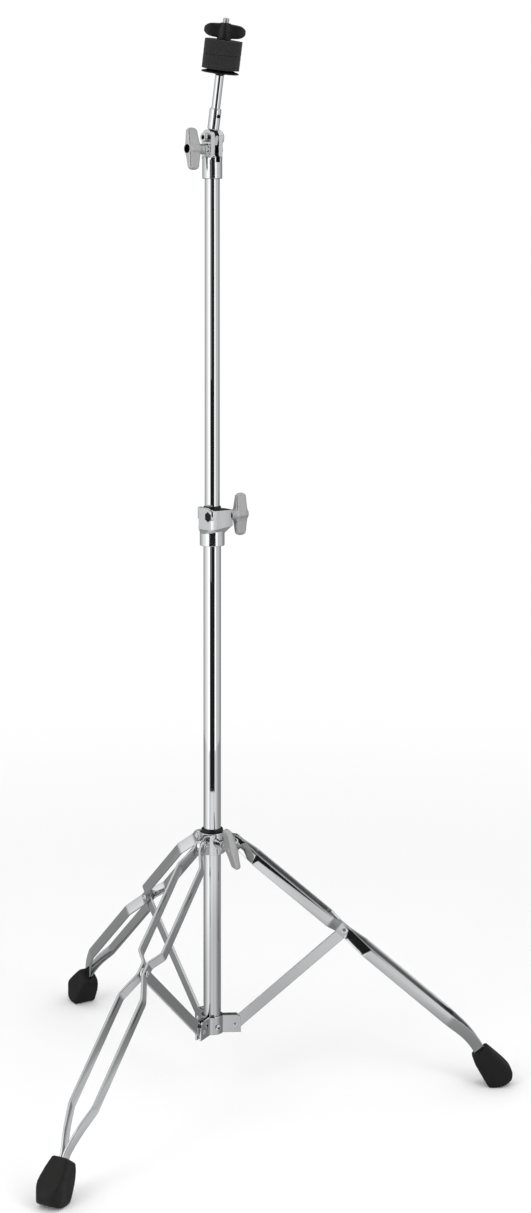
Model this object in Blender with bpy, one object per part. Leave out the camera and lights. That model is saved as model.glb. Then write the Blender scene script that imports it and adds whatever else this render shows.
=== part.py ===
"""Straight cymbal stand with a double-braced tripod, two tube sections and a tilter.

All sizes are in metres, +Z is up and the feet stand on Z = 0. The stand is built round the axis of its
tubes, and the whole of it is then moved along X so that the origin lies under the middle of its box.
"""

import math

import bmesh
import bpy
from mathutils import Matrix, Vector

# Fits between neighbouring pieces
FIT_GAP = 0.0003
# Points closer than this after a Boolean are one point
WELD_DISTANCE = 0.00001

# Tubes
BASE_TUBE_DIAMETER = 0.0222
UPPER_TUBE_DIAMETER = 0.01905
TUBE_WALL = 0.0012
BASE_TUBE_LENGTH = 0.636
TUBE_BELOW_PIVOT = 0.0068
UPPER_TUBE_REACH = 0.441
UPPER_TUBE_OVERLAP = 0.125

# Tripod
LEG_AZIMUTHS = {"right": 0.0, "rear": 120.0, "front": -120.0}
LEG_ANGLE = 50.0
ARM_LENGTH = 0.181
PIVOT_RADIUS = 0.029
STRIP_WIDTH = 0.014
STRIP_THICKNESS = 0.003
LEG_STRAIGHT = 0.371
LEG_BEND_LENGTH = 0.040
LEG_BEND_ANGLE = 20.0
LEG_TAIL = 0.024
BOW_HALF_WIDTH = 0.01575
UPPER_RAMP_START = 0.010
UPPER_RAMP_END = 0.033
MID_RAMP_IN_START = 0.025
MID_RAMP_IN_END = 0.011
MID_RAMP_OUT_START = 0.007
MID_RAMP_OUT_END = 0.031
FOOT_RAMP_LENGTH = 0.057
STRIP_BEND_EASE = 0.003
BRACE_WIDTH = 0.014
BRACE_THICKNESS = 0.003

# Rivets of the tripod
RIVET_DIAMETER = 0.005
RIVET_HEAD_DIAMETER = 0.008
RIVET_HEAD_HEIGHT = 0.0016

# Bracket at the foot of the base tube
PLATE_THICKNESS = 0.0026
PLATE_RISE = 0.013
PLATE_DROP = 0.009
EAR_REACH = 0.0072
EAR_CORNER = 0.007
PLATE_SCREW_DIAMETER = 0.004
PLATE_SCREW_HEAD = 0.0075
PLATE_SCREW_HEAD_HEIGHT = 0.002
PLATE_SCREW_LENGTH = 0.006
CROSS_SLOT_WIDTH = 0.0012
CROSS_SLOT_DEPTH = 0.001

# Collar and its nylon liner
LINER_WALL = 0.0014
LINER_FLANGE_RADIUS = 0.01385
LINER_FLANGE_HEIGHT = 0.004
COLLAR_WALL = 0.0026
COLLAR_RISE = 0.0115
COLLAR_DROP = 0.015
LUG_THICKNESS = 0.005
LUG_EYE_RADIUS = 0.0072
LUG_ROOT_THICKNESS = 0.011
LUG_ROOT_REACH = 0.0213
LUG_INSET = 0.0008
COLLAR_BOSS_RADIUS = 0.0065
COLLAR_BOSS_REACH = 0.031
COLLAR_BOLT_AZIMUTH = -60.0
COLLAR_BOLT_LEAN = 16.0

# Feet
FOOT_ENTRY_HEIGHT = 0.0445
FOOT_LENGTH_TO_TOE = 0.0345
FOOT_NECK_HALF = 0.0113
FOOT_HEEL = 0.0143
FOOT_TOE = 0.0256
FOOT_NECK_WIDTH = 0.0275
FOOT_WIDTH = 0.035
SOLE_RADIUS = 0.0405
SOLE_CENTRE_OUT = 0.0174
SOLE_HEEL = 0.0065
SOLE_TOE = 0.0245
SOLE_RIBS = 6
RIB_DEPTH = 0.0011
SOLE_FLAT = 0.0004

# Clamp parts shared by the height clamp and the tilter
CLAMP_AZIMUTH = -53.0
BOLT_DIAMETER = 0.006
BOLT_HEAD_FLATS = 0.010
BOLT_HEAD_HEIGHT = 0.0036
WASHER_RADIUS = 0.007
WASHER_THICKNESS = 0.0015

# Metal wing nut
NUT_LENGTH = 0.0245
NUT_NECK_RADIUS = 0.0068
NUT_HUB_RADIUS = 0.0077
NUT_NECK_LENGTH = 0.006
NUT_RECESS_RADIUS = 0.0057
NUT_RECESS_DEPTH = 0.0065
WING_SPAN = 0.0535
WING_ROOT_THICKNESS = 0.0125
WING_TIP_THICKNESS = 0.0062
WING_TIP_DEPTH = 0.0118
WING_TIP_CENTRE = 0.0160

# Height clamp
SLEEVE_RADIUS = 0.01535
SLEEVE_LENGTH = 0.0235
CLAMP_BLOCK_HEIGHT = 0.0225
CLAMP_EAR_EXTRA = 0.0035
CLAMP_FAR_FACE = 0.0172
CLAMP_HEX_FACE = 0.019
CLAMP_FRONT_FACE = 0.0216
CLAMP_EAR_THICKNESS = 0.006
CLAMP_SLIT = 0.0022
CLAMP_BACK_CORNER = 0.0035
CLAMP_BOLT_OFFSET = 0.0155
CLAMP_BOLT_RISE = 0.015
CLAMP_BOLT_REACH = 0.038
HEX_POCKET_DEPTH = 0.0045
BUSHING_HEIGHT = 0.026

# Tilter
SOCKET_RADIUS = 0.0127
SOCKET_HEIGHT = 0.031
SOCKET_SLOPE = 0.0045
SOCKET_DEPTH = 0.018
SLOT_BOTTOM = 0.0205
FORK_SLOT = 0.006
FORK_EAR_THICKNESS = 0.0065
FORK_EYE_RADIUS = 0.011
FORK_WAIST = 0.0092
TILT_PIVOT_HEIGHT = 0.052
TILTER_BOLT_HEIGHT = 0.037
FORK_BOSS_RADIUS = 0.007
FORK_BOSS_LENGTH = 0.004
TILTER_BOLT_REACH = 0.035
PIVOT_BOLT_DIAMETER = 0.005
PIVOT_HEAD_RADIUS = 0.0046
PIVOT_HEAD_LENGTH = 0.0048
PIVOT_NUT_FLATS = 0.008
PIVOT_NUT_HEIGHT = 0.004
PIVOT_SOCKET_FLATS = 0.004
PIVOT_SOCKET_DEPTH = 0.0025

# Tilter arm and cymbal rod, with distances along the arm from the tilt pivot
TILT_ANGLE = 11.0
ARM_DISC_RADIUS = 0.0105
STEM_RADIUS = 0.0075
STEM_START = 0.0116
STEM_END = 0.0373
ROD_START = 0.0145
ROD_RADIUS = 0.0055
ROD_SHOULDER = 0.0798
THREAD_RADIUS = 0.004
ROD_TIP = 0.152
SET_SCREW_RADIUS = 0.0022
SET_SCREW_LENGTH = 0.0028
SET_SCREW_PLACE = 0.028

# Seat, felts and top wing nut
SEAT_RADIUS = 0.024
SEAT_RIM_THICKNESS = 0.0025
SEAT_HUB_RADIUS = 0.0062
SEAT_HUB_DROP = 0.0022
SEAT_DOME_HEIGHT = 0.0022
SEAT_DOME_RADIUS = 0.013
SLEEVE_WALL = 0.0017
CYMBAL_SLEEVE_HEIGHT = 0.031
FELT_RADIUS = 0.0241
FELT_HEIGHT = 0.0183
FELT_EDGE = 0.0012
TOP_NUT_HEIGHT = 0.0212
TOP_NUT_HUB_RADIUS = 0.0088
TOP_WING_SPAN = 0.0525
TOP_WING_ROOT = 0.0098
TOP_WING_TIP_THICKNESS = 0.0058
TOP_WING_TIP_DEPTH = 0.0096
TOP_WING_TIP_CENTRE = 0.0115
TOP_NUT_TURN = 53.0

# Numbers of facets
TUBE_SIDES = 32
PART_SIDES = 24
PIN_SIDES = 12

# Places that follow from the sizes above
BASE_RADIUS = BASE_TUBE_DIAMETER / 2
UPPER_RADIUS = UPPER_TUBE_DIAMETER / 2
THETA = math.radians(LEG_ANGLE)
BEND = math.radians(LEG_BEND_ANGLE)
BEND_RADIUS = LEG_BEND_LENGTH / BEND
LEG_LENGTH = LEG_STRAIGHT + LEG_BEND_LENGTH
FLAT_RAMP_START = LEG_LENGTH - FOOT_RAMP_LENGTH
COLLAR_OFFSET = LUG_THICKNESS / 2 + FIT_GAP + STRIP_THICKNESS / 2
MID_OFFSET = BRACE_THICKNESS / 2 + FIT_GAP + STRIP_THICKNESS / 2
FOOT_OFFSET = STRIP_THICKNESS / 2 + FIT_GAP / 2
LINER_INNER = BASE_RADIUS + FIT_GAP
LINER_OUTER = LINER_INNER + LINER_WALL
COLLAR_BORE = LINER_OUTER + FIT_GAP
COLLAR_RADIUS = COLLAR_BORE + COLLAR_WALL
EAR_GAP = BRACE_THICKNESS / 2 + FIT_GAP
PLATE_INNER = BASE_RADIUS + FIT_GAP
PLATE_OUTER = PLATE_INNER + PLATE_THICKNESS
EAR_END = PIVOT_RADIUS + EAR_REACH


def leg_frame_to_radial(point):
    """Turns a place in a leg's own frame into its distance out and its drop from the collar pivot."""
    out = point.x * math.sin(THETA) + point.z * math.cos(THETA)
    drop = point.x * math.cos(THETA) - point.z * math.sin(THETA)
    return out, drop


def leg_path(distance):
    """Centre of a leg in its own frame, X along the leg and Z square to it, and its direction."""
    if distance <= LEG_STRAIGHT:
        return Vector((distance, 0, 0)), 0.0
    turned = min((distance - LEG_STRAIGHT) / BEND_RADIUS, BEND)
    place = Vector((LEG_STRAIGHT + BEND_RADIUS * math.sin(turned), 0, BEND_RADIUS * (math.cos(turned) - 1)))
    beyond = max(distance - LEG_LENGTH, 0.0)
    return place + beyond * Vector((math.cos(turned), 0, -math.sin(turned))), turned


ENTRY_PLACE, ENTRY_TURN = leg_path(LEG_LENGTH)
ENTRY_OUT, ENTRY_DROP = leg_frame_to_radial(ENTRY_PLACE)
COLLAR_HEIGHT = FOOT_ENTRY_HEIGHT + ENTRY_DROP
BRACKET_HEIGHT = COLLAR_HEIGHT - 2 * ARM_LENGTH * math.cos(THETA)
TUBE_BOTTOM = BRACKET_HEIGHT - TUBE_BELOW_PIVOT
TUBE_TOP = TUBE_BOTTOM + BASE_TUBE_LENGTH
CLAMP_BOTTOM = TUBE_TOP - SLEEVE_LENGTH + FIT_GAP
BLOCK_BOTTOM = TUBE_TOP + FIT_GAP
BLOCK_TOP = BLOCK_BOTTOM + CLAMP_BLOCK_HEIGHT
CLAMP_BOLT_HEIGHT = BLOCK_BOTTOM + CLAMP_BOLT_RISE
SOCKET_BOTTOM = TUBE_TOP + UPPER_TUBE_REACH
UPPER_TUBE_TOP = SOCKET_BOTTOM + SOCKET_DEPTH - FIT_GAP
UPPER_TUBE_BOTTOM = TUBE_TOP - UPPER_TUBE_OVERLAP
TILT_HEIGHT = SOCKET_BOTTOM + TILT_PIVOT_HEIGHT
FORK_HALF = FORK_SLOT / 2 + FORK_EAR_THICKNESS
SEAT_BOTTOM = ROD_SHOULDER + FIT_GAP
SEAT_TOP = SEAT_BOTTOM + SEAT_HUB_DROP + SEAT_RIM_THICKNESS + SEAT_DOME_HEIGHT
LOWER_FELT_BOTTOM = SEAT_TOP + FIT_GAP
UPPER_FELT_BOTTOM = LOWER_FELT_BOTTOM + FELT_HEIGHT + FIT_GAP
TOP_NUT_BOTTOM = UPPER_FELT_BOTTOM + FELT_HEIGHT + FIT_GAP
THREAD_CLEAR = THREAD_RADIUS + FIT_GAP
BOLT_CLEAR = BOLT_DIAMETER / 2 + FIT_GAP


def material(name, colour, metallic, roughness):
    """One plain Principled material."""
    made = bpy.data.materials.get(name) or bpy.data.materials.new(name)
    made.use_nodes = True
    shader = made.node_tree.nodes["Principled BSDF"]
    shader.inputs["Base Color"].default_value = (*colour, 1.0)
    shader.inputs["Metallic"].default_value = metallic
    shader.inputs["Roughness"].default_value = roughness
    made.diffuse_color = (*colour, 1.0)
    return made


def chrome():
    return material("polished_chrome", (0.62, 0.62, 0.63), 1.0, 0.08)


def cast_chrome():
    return material("cast_chrome", (0.58, 0.58, 0.59), 1.0, 0.18)


def blasted_chrome():
    return material("blasted_chrome", (0.50, 0.50, 0.51), 1.0, 0.38)


def black_rubber():
    return material("black_rubber", (0.02, 0.02, 0.02), 0.0, 0.75)


def black_plastic():
    return material("black_plastic", (0.015, 0.015, 0.015), 0.0, 0.45)


def black_nylon():
    return material("black_nylon", (0.012, 0.012, 0.012), 0.0, 0.4)


def black_felt():
    return material("black_felt", (0.025, 0.025, 0.025), 0.0, 0.95)


def empty(name, parent=None, place=Matrix.Identity(4)):
    """A frame that pieces are placed in."""
    made = bpy.data.objects.new(name, None)
    bpy.context.scene.collection.objects.link(made)
    made.parent = parent
    made.matrix_local = place
    return made


def piece(name, solid, parent, finish, place=Matrix.Identity(4)):
    """Turns a bmesh into a named object with a material, under its parent."""
    bmesh.ops.recalc_face_normals(solid, faces=solid.faces)
    mesh = bpy.data.meshes.new(name)
    solid.to_mesh(mesh)
    solid.free()
    mesh.shade_smooth()
    mesh.set_sharp_from_angle(angle=math.radians(35))
    mesh.materials.append(finish)
    made = bpy.data.objects.new(name, mesh)
    bpy.context.scene.collection.objects.link(made)
    made.parent = parent
    made.matrix_local = place
    return made


def combine(target, solid, operation, label):
    """Adds or cuts a helper shape with an exact Boolean that stays on the target."""
    helper = piece(f"{target.name}_{label}", solid, target, target.data.materials[0])
    helper.hide_render = True
    helper.display_type = "WIRE"
    step = target.modifiers.new(label, "BOOLEAN")
    step.object = helper
    step.operation = operation
    step.solver = "EXACT"
    weld = target.modifiers.new(f"{label}_weld", "WELD")
    weld.merge_threshold = WELD_DISTANCE


def cut(target, solid, label):
    combine(target, solid, "DIFFERENCE", label)


def unite(target, solid, label):
    combine(target, solid, "UNION", label)


def loft(rings):
    """A closed solid through rings that have equally many points."""
    solid = bmesh.new()
    rows = [[solid.verts.new(point) for point in ring] for ring in rings]
    count = len(rows[0])
    for lower, upper in zip(rows, rows[1:]):
        for index in range(count):
            following = (index + 1) % count
            solid.faces.new((lower[index], lower[following], upper[following], upper[index]))
    solid.faces.new(list(reversed(rows[0])))
    solid.faces.new(rows[-1])
    return solid


def turned(profile, sides, closed=False):
    """Spins a profile of (radius, height) points round Z."""
    solid = bmesh.new()
    verts = [solid.verts.new((radius, 0, height)) for radius, height in profile]
    edges = [solid.edges.new(pair) for pair in zip(verts, verts[1:])]
    if closed:
        edges.append(solid.edges.new((verts[-1], verts[0])))
    bmesh.ops.spin(solid, geom=verts + edges, cent=(0, 0, 0), axis=(0, 0, 1), angle=math.tau, steps=sides)
    bmesh.ops.remove_doubles(solid, verts=solid.verts, dist=1e-6)
    return solid


def rod(radius, bottom, top, sides):
    """A plain round bar along Z."""
    return turned([(0, bottom), (radius, bottom), (radius, top), (0, top)], sides)


def ring(inner, outer, bottom, top, sides):
    """A plain tube along Z."""
    return turned([(inner, bottom), (outer, bottom), (outer, top), (inner, top)], sides, closed=True)


def prism(outline, bottom, top):
    """An outline in X and Y, extruded along Z."""
    solid = bmesh.new()
    face = solid.faces.new([solid.verts.new((x, y, bottom)) for x, y in outline])
    grown = bmesh.ops.extrude_face_region(solid, geom=[face])
    moved = [item for item in grown["geom"] if isinstance(item, bmesh.types.BMVert)]
    bmesh.ops.translate(solid, verts=moved, vec=(0, 0, top - bottom))
    return solid


def hexagon(flats, bottom, top):
    """A hexagonal bar along Z, with a corner on X."""
    radius = flats / math.sqrt(3)
    corners = [math.radians(60 * index) for index in range(6)]
    return prism([(radius * math.cos(corner), radius * math.sin(corner)) for corner in corners], bottom, top)


def arc(centre, radius, start, end, steps):
    """Points on an arc, from one angle to another in degrees."""
    angles = [math.radians(start + (end - start) * index / steps) for index in range(steps + 1)]
    return [(centre[0] + radius * math.cos(angle), centre[1] + radius * math.sin(angle)) for angle in angles]


def moved(solid, place):
    """The same solid after a change of place."""
    bmesh.ops.transform(solid, matrix=place, verts=solid.verts)
    return solid


def turn(degrees, axis):
    return Matrix.Rotation(math.radians(degrees), 4, axis)


def shift(x=0.0, y=0.0, z=0.0):
    return Matrix.Translation((x, y, z))


# Turns the Z axis of a helper shape onto Y
ALONG_Y = turn(-90, "X")
# Turns the Z axis of a helper shape onto X
ALONG_X = turn(90, "Y")


def cross_pin(radius, half_length, sides=PIN_SIDES):
    """A round bar along Y, centred on the origin."""
    return moved(rod(radius, -half_length, half_length, sides), ALONG_Y)


def rivet(name, parent, stack_half, place):
    """A rivet along Y whose two domed heads close on a stack of plates."""
    grip = stack_half + FIT_GAP
    head, height = RIVET_HEAD_DIAMETER / 2, RIVET_HEAD_HEIGHT
    dome = [(0, -grip - height), (0.6 * head, -grip - 0.85 * height), (head, -grip - 0.35 * height)]
    half = dome + [(head, -grip), (RIVET_DIAMETER / 2, -grip)]
    profile = half + [(radius, -height_) for radius, height_ in reversed(half)]
    return piece(name, moved(turned(profile, PIN_SIDES), ALONG_Y), parent, chrome(), place)


def eased(distance, knee, slope_before, slope_after):
    """Height of a bend with a rounded knee, measured from the straight line before it."""
    past = distance - knee
    if past <= -STRIP_BEND_EASE:
        return 0.0
    rise = slope_after - slope_before
    if past >= STRIP_BEND_EASE:
        return rise * past
    return rise * (past + STRIP_BEND_EASE) ** 2 / (4 * STRIP_BEND_EASE)


def strip_knees():
    """Places along a leg where a strip changes its distance from the leg's middle."""
    return [(UPPER_RAMP_START, COLLAR_OFFSET), (UPPER_RAMP_END, BOW_HALF_WIDTH),
            (ARM_LENGTH - MID_RAMP_IN_START, BOW_HALF_WIDTH), (ARM_LENGTH - MID_RAMP_IN_END, MID_OFFSET),
            (ARM_LENGTH + MID_RAMP_OUT_START, MID_OFFSET), (ARM_LENGTH + MID_RAMP_OUT_END, BOW_HALF_WIDTH),
            (FLAT_RAMP_START, BOW_HALF_WIDTH), (LEG_LENGTH - STRIP_BEND_EASE, FOOT_OFFSET)]


def strip_offset(distance):
    """Distance of a strip from the leg's middle plane."""
    knees = strip_knees()
    slopes = [0.0] + [(b[1] - a[1]) / (b[0] - a[0]) for a, b in zip(knees, knees[1:])] + [0.0]
    offset = COLLAR_OFFSET
    for knee, before, after in zip(knees, slopes, slopes[1:]):
        offset += eased(distance, knee[0], before, after)
    return offset


def strip_stations():
    """Places along a leg where a strip gets a section, closest together at its bends."""
    half = STRIP_WIDTH / 2
    nose = [(-half * math.cos(math.radians(angle)), half * math.sin(math.radians(angle))) for angle in (10, 35, 60)]
    bends = {0.0, LEG_LENGTH + LEG_TAIL}
    for knee, _ in strip_knees():
        bends.update(knee + part * STRIP_BEND_EASE for part in (-1.0, 0.0, 1.0))
    bends.update(LEG_STRAIGHT + LEG_BEND_LENGTH * part / 5 for part in range(6))
    places = sorted(bends)
    kept = [place for place, following in zip(places, places[1:] + [1.0]) if following - place > 0.0004]
    return nose + [(place, half) for place in kept]


def strip_solid(side):
    """One leg strip, in the leg's frame. side is 1 or -1."""
    step = 0.0001
    rings = []
    for distance, half in strip_stations():
        centre, bent = leg_path(distance)
        centre.y = side * strip_offset(distance)
        ahead, _ = leg_path(distance + step)
        ahead.y = side * strip_offset(distance + step)
        up = Vector((math.sin(bent), 0, math.cos(bent)))
        across = up.cross(ahead - centre).normalized() * STRIP_THICKNESS / 2
        rings.append([centre + up * half + across, centre - up * half + across,
                      centre - up * half - across, centre + up * half - across])
    return loft(rings)


def foot_half_width(along):
    """Half of a foot's width, which grows from the neck to the toe."""
    share = min(max(along / FOOT_LENGTH_TO_TOE, 0.0), 1.0)
    return FOOT_NECK_WIDTH / 2 + (FOOT_WIDTH - FOOT_NECK_WIDTH) / 2 * math.sin(share * math.pi / 2)


def sole_points():
    """Ribbed sole as (out, down) from the leg's entry, with its lowest crests cut flat on the floor."""
    points = []
    start = math.asin(-SOLE_HEEL / SOLE_RADIUS)
    end = math.asin(SOLE_TOE / SOLE_RADIUS)
    centre_down = FOOT_ENTRY_HEIGHT + SOLE_FLAT - SOLE_RADIUS
    for index in range(SOLE_RIBS):
        for part, depth in ((0.0, 0.0), (0.55, 0.0), (0.68, RIB_DEPTH), (0.87, RIB_DEPTH)):
            if index == SOLE_RIBS - 1 and part > 0.55:
                break
            angle = start + (end - start) * (index + part) / (SOLE_RIBS - 0.45)
            reach = SOLE_RADIUS - depth
            down = min(centre_down + reach * math.cos(angle), FOOT_ENTRY_HEIGHT - depth)
            points.append((SOLE_CENTRE_OUT + reach * math.sin(angle), down))
    return points


def foot_outline():
    """Side view of a foot as (along, across) from the leg's entry, along its own axis."""
    lean = THETA - BEND
    sole = [(out * math.sin(lean) + down * math.cos(lean), out * math.cos(lean) - down * math.sin(lean))
            for out, down in sole_points()]
    toe = [(FOOT_LENGTH_TO_TOE + 0.011, FOOT_TOE - 0.0026), (FOOT_LENGTH_TO_TOE, FOOT_TOE)]
    back = [(FOOT_LENGTH_TO_TOE * 0.2, FOOT_NECK_HALF + 0.0045), (0.002, FOOT_NECK_HALF)]
    heel = [(0.0006, -FOOT_NECK_HALF), (FOOT_LENGTH_TO_TOE * 0.25, -FOOT_HEEL)]
    return sole + toe + back + heel


def foot_solid():
    """A rubber foot. X runs along its axis, Z outwards and Y across the leg."""
    outline = foot_outline()
    middle = (FOOT_LENGTH_TO_TOE * 0.75, (FOOT_TOE - FOOT_HEEL) / 2)
    rings = []
    for side, inset, share in ((-1, 0.2, 1.0), (-1, 0.06, 0.93), (-1, 0.0, 0.8),
                               (1, 0.0, 0.8), (1, 0.06, 0.93), (1, 0.2, 1.0)):
        points = []
        for along, across in outline:
            half = foot_half_width(along) * share
            points.append(Vector((along + (middle[0] - along) * inset, side * half,
                                  across + (middle[1] - across) * inset)))
        rings.append(points)
    return loft(rings)


def build_foot(name, leg):
    """A foot on the ends of both strips, with the pocket that they sit in."""
    place = Matrix.Translation(ENTRY_PLACE) @ Matrix.Rotation(ENTRY_TURN, 4, "Y")
    foot = piece(name, foot_solid(), leg, black_rubber(), place)
    wide = FOOT_OFFSET + STRIP_THICKNESS / 2 + FIT_GAP
    tall = STRIP_WIDTH / 2 + FIT_GAP
    pocket = prism([(-wide, -tall), (wide, -tall), (wide, tall), (-wide, tall)], -0.01, LEG_TAIL + FIT_GAP)
    cut(foot, moved(pocket, ALONG_X @ turn(90, "Z")), "pocket")


def build_leg(side, spot):
    """A leg: two strips, a foot and the rivet of its brace, hung on its collar pivot."""
    leg = empty(f"leg_{side}", spot, shift(PIVOT_RADIUS, 0, COLLAR_HEIGHT) @ turn(90 - LEG_ANGLE, "Y"))
    hole = RIVET_DIAMETER / 2 + FIT_GAP
    for letter, way in (("a", -1), ("b", 1)):
        strip = piece(f"leg_{side}_strip_{letter}", strip_solid(way), leg, chrome())
        for label, along in (("collar_hole", 0.0), ("brace_hole", ARM_LENGTH)):
            cut(strip, moved(cross_pin(hole, BOW_HALF_WIDTH), shift(along)), label)
    build_foot(f"leg_{side}_foot", leg)
    rivet(f"leg_{side}_mid_rivet", leg, MID_OFFSET + STRIP_THICKNESS / 2, shift(ARM_LENGTH))


def build_brace(side, spot):
    """A flat brace from the bracket up to the middle of its leg."""
    brace = empty(f"brace_{side}_pivot", spot, shift(PIVOT_RADIUS, 0, BRACKET_HEIGHT) @ turn(LEG_ANGLE - 90, "Y"))
    half = BRACE_WIDTH / 2
    outline = arc((0, 0), half, 90, 270, 8) + arc((ARM_LENGTH, 0), half, -90, 90, 8)
    bar = piece(f"brace_{side}", moved(prism(outline, -BRACE_THICKNESS / 2, BRACE_THICKNESS / 2), ALONG_Y),
                brace, chrome())
    hole = RIVET_DIAMETER / 2 + FIT_GAP
    for label, along in (("bracket_hole", 0.0), ("leg_hole", ARM_LENGTH)):
        cut(bar, moved(cross_pin(hole, BRACE_WIDTH), shift(along)), label)


def plate_outline():
    """Plan of a bracket plate: a saddle on the tube and two ears along the neighbouring legs."""
    near, far = EAR_GAP, EAR_GAP + PLATE_THICKNESS
    inner_end = 60 - math.degrees(math.asin(near / PLATE_INNER))
    outer_end = 60 - math.degrees(math.asin(far / PLATE_OUTER))

    def ear_point(reach, aside, side):
        along, across = math.radians(60), side * 1.0
        return (reach * math.cos(along) + aside * math.sin(along),
                across * (reach * math.sin(along) - aside * math.cos(along)))

    outline = arc((0, 0), PLATE_INNER, -inner_end, inner_end, 10)
    outline += [ear_point(EAR_END, near, 1), ear_point(EAR_END, far, 1)]
    outline += arc((0, 0), PLATE_OUTER, outer_end, -outer_end, 8)
    return outline + [ear_point(EAR_END, far, -1), ear_point(EAR_END, near, -1)]


def plate_solid():
    """A bracket plate with its two upper outer corners rounded."""
    solid = prism(plate_outline(), BRACKET_HEIGHT - PLATE_DROP, BRACKET_HEIGHT + PLATE_RISE)
    top = BRACKET_HEIGHT + PLATE_RISE - FIT_GAP
    reach = EAR_END - FIT_GAP
    corners = [edge for edge in solid.edges
               if all(vert.co.z > top and vert.co.xy.length > reach for vert in edge.verts)]
    bmesh.ops.bevel(solid, geom=corners, offset=EAR_CORNER, segments=5, profile=0.5, affect="EDGES")
    return solid


def screw_solid():
    """A pan-head screw along X with a cross recess, its head's seat at X = 0."""
    head, height = PLATE_SCREW_HEAD / 2, PLATE_SCREW_HEAD_HEIGHT
    shank = PLATE_SCREW_DIAMETER / 2
    profile = [(0, -PLATE_SCREW_LENGTH), (shank, -PLATE_SCREW_LENGTH), (shank, 0), (head, 0),
               (head, 0.45 * height), (0.7 * head, height), (0, height)]
    return moved(turned(profile, PIN_SIDES), ALONG_X)


def build_bracket(stand):
    """Three saddle plates with their screws, and the rivets that carry the braces."""
    seat = PLATE_OUTER + FIT_GAP
    for letter, azimuth in (("a", -60.0), ("b", 60.0), ("c", 180.0)):
        spot = empty(f"bracket_{letter}", stand, turn(azimuth, "Z"))
        plate = piece(f"bracket_plate_{letter}", plate_solid(), spot, chrome())
        hole = moved(cross_pin(PLATE_SCREW_DIAMETER / 2 + FIT_GAP, PLATE_OUTER), turn(-90, "Z"))
        cut(plate, moved(hole, shift(PLATE_OUTER, 0, BRACKET_HEIGHT)), "screw_hole")
        for way in (-1, 1):
            pin = moved(cross_pin(RIVET_DIAMETER / 2 + FIT_GAP, PIVOT_RADIUS / 3),
                        turn(way * 60, "Z") @ shift(PIVOT_RADIUS, 0, BRACKET_HEIGHT))
            cut(plate, pin, f"rivet_hole_{way + 1}")
        screw = piece(f"bracket_screw_{letter}", screw_solid(), spot, chrome(), shift(seat, 0, BRACKET_HEIGHT))
        deep = PLATE_SCREW_HEAD_HEIGHT - CROSS_SLOT_DEPTH
        wide, long = CROSS_SLOT_WIDTH / 2, PLATE_SCREW_HEAD * 0.3
        for label, (y, z) in (("slot_across", (long, wide)), ("slot_down", (wide, long))):
            bar = prism([(-z, -y), (z, -y), (z, y), (-z, y)], deep, deep + PLATE_SCREW_HEAD_HEIGHT)
            cut(screw, moved(bar, ALONG_X), label)
    for side, azimuth in LEG_AZIMUTHS.items():
        spot = empty(f"bracket_{side}", stand, turn(azimuth, "Z"))
        rivet(f"bracket_rivet_{side}", spot, EAR_GAP + PLATE_THICKNESS, shift(PIVOT_RADIUS, 0, BRACKET_HEIGHT))


def build_base_tube(stand):
    """The lower tube, with holes for the bracket's screws."""
    solid = ring(BASE_RADIUS - TUBE_WALL, BASE_RADIUS, TUBE_BOTTOM, TUBE_TOP, TUBE_SIDES)
    tube = piece("base_tube", solid, stand, chrome())
    for index, azimuth in enumerate((-60.0, 60.0, 180.0)):
        hole = moved(cross_pin(PLATE_SCREW_DIAMETER / 2 + FIT_GAP, TUBE_WALL * 2), turn(-90, "Z"))
        place = turn(azimuth, "Z") @ shift(BASE_RADIUS, 0, BRACKET_HEIGHT)
        cut(tube, moved(hole, place), f"screw_hole_{index}")


def lug_outline():
    """Side view of a collar lug as (out, up) from the leg pivot's height."""
    root = COLLAR_BORE + COLLAR_WALL / 2
    bottom, top = LUG_INSET - COLLAR_DROP, COLLAR_RISE - LUG_INSET
    eye = arc((PIVOT_RADIUS, 0), LUG_EYE_RADIUS, -60, 75, 7)
    shoulder = COLLAR_RADIUS + COLLAR_WALL
    return [(root, bottom), (shoulder, bottom)] + eye + [(shoulder, top), (root, top)]


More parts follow.
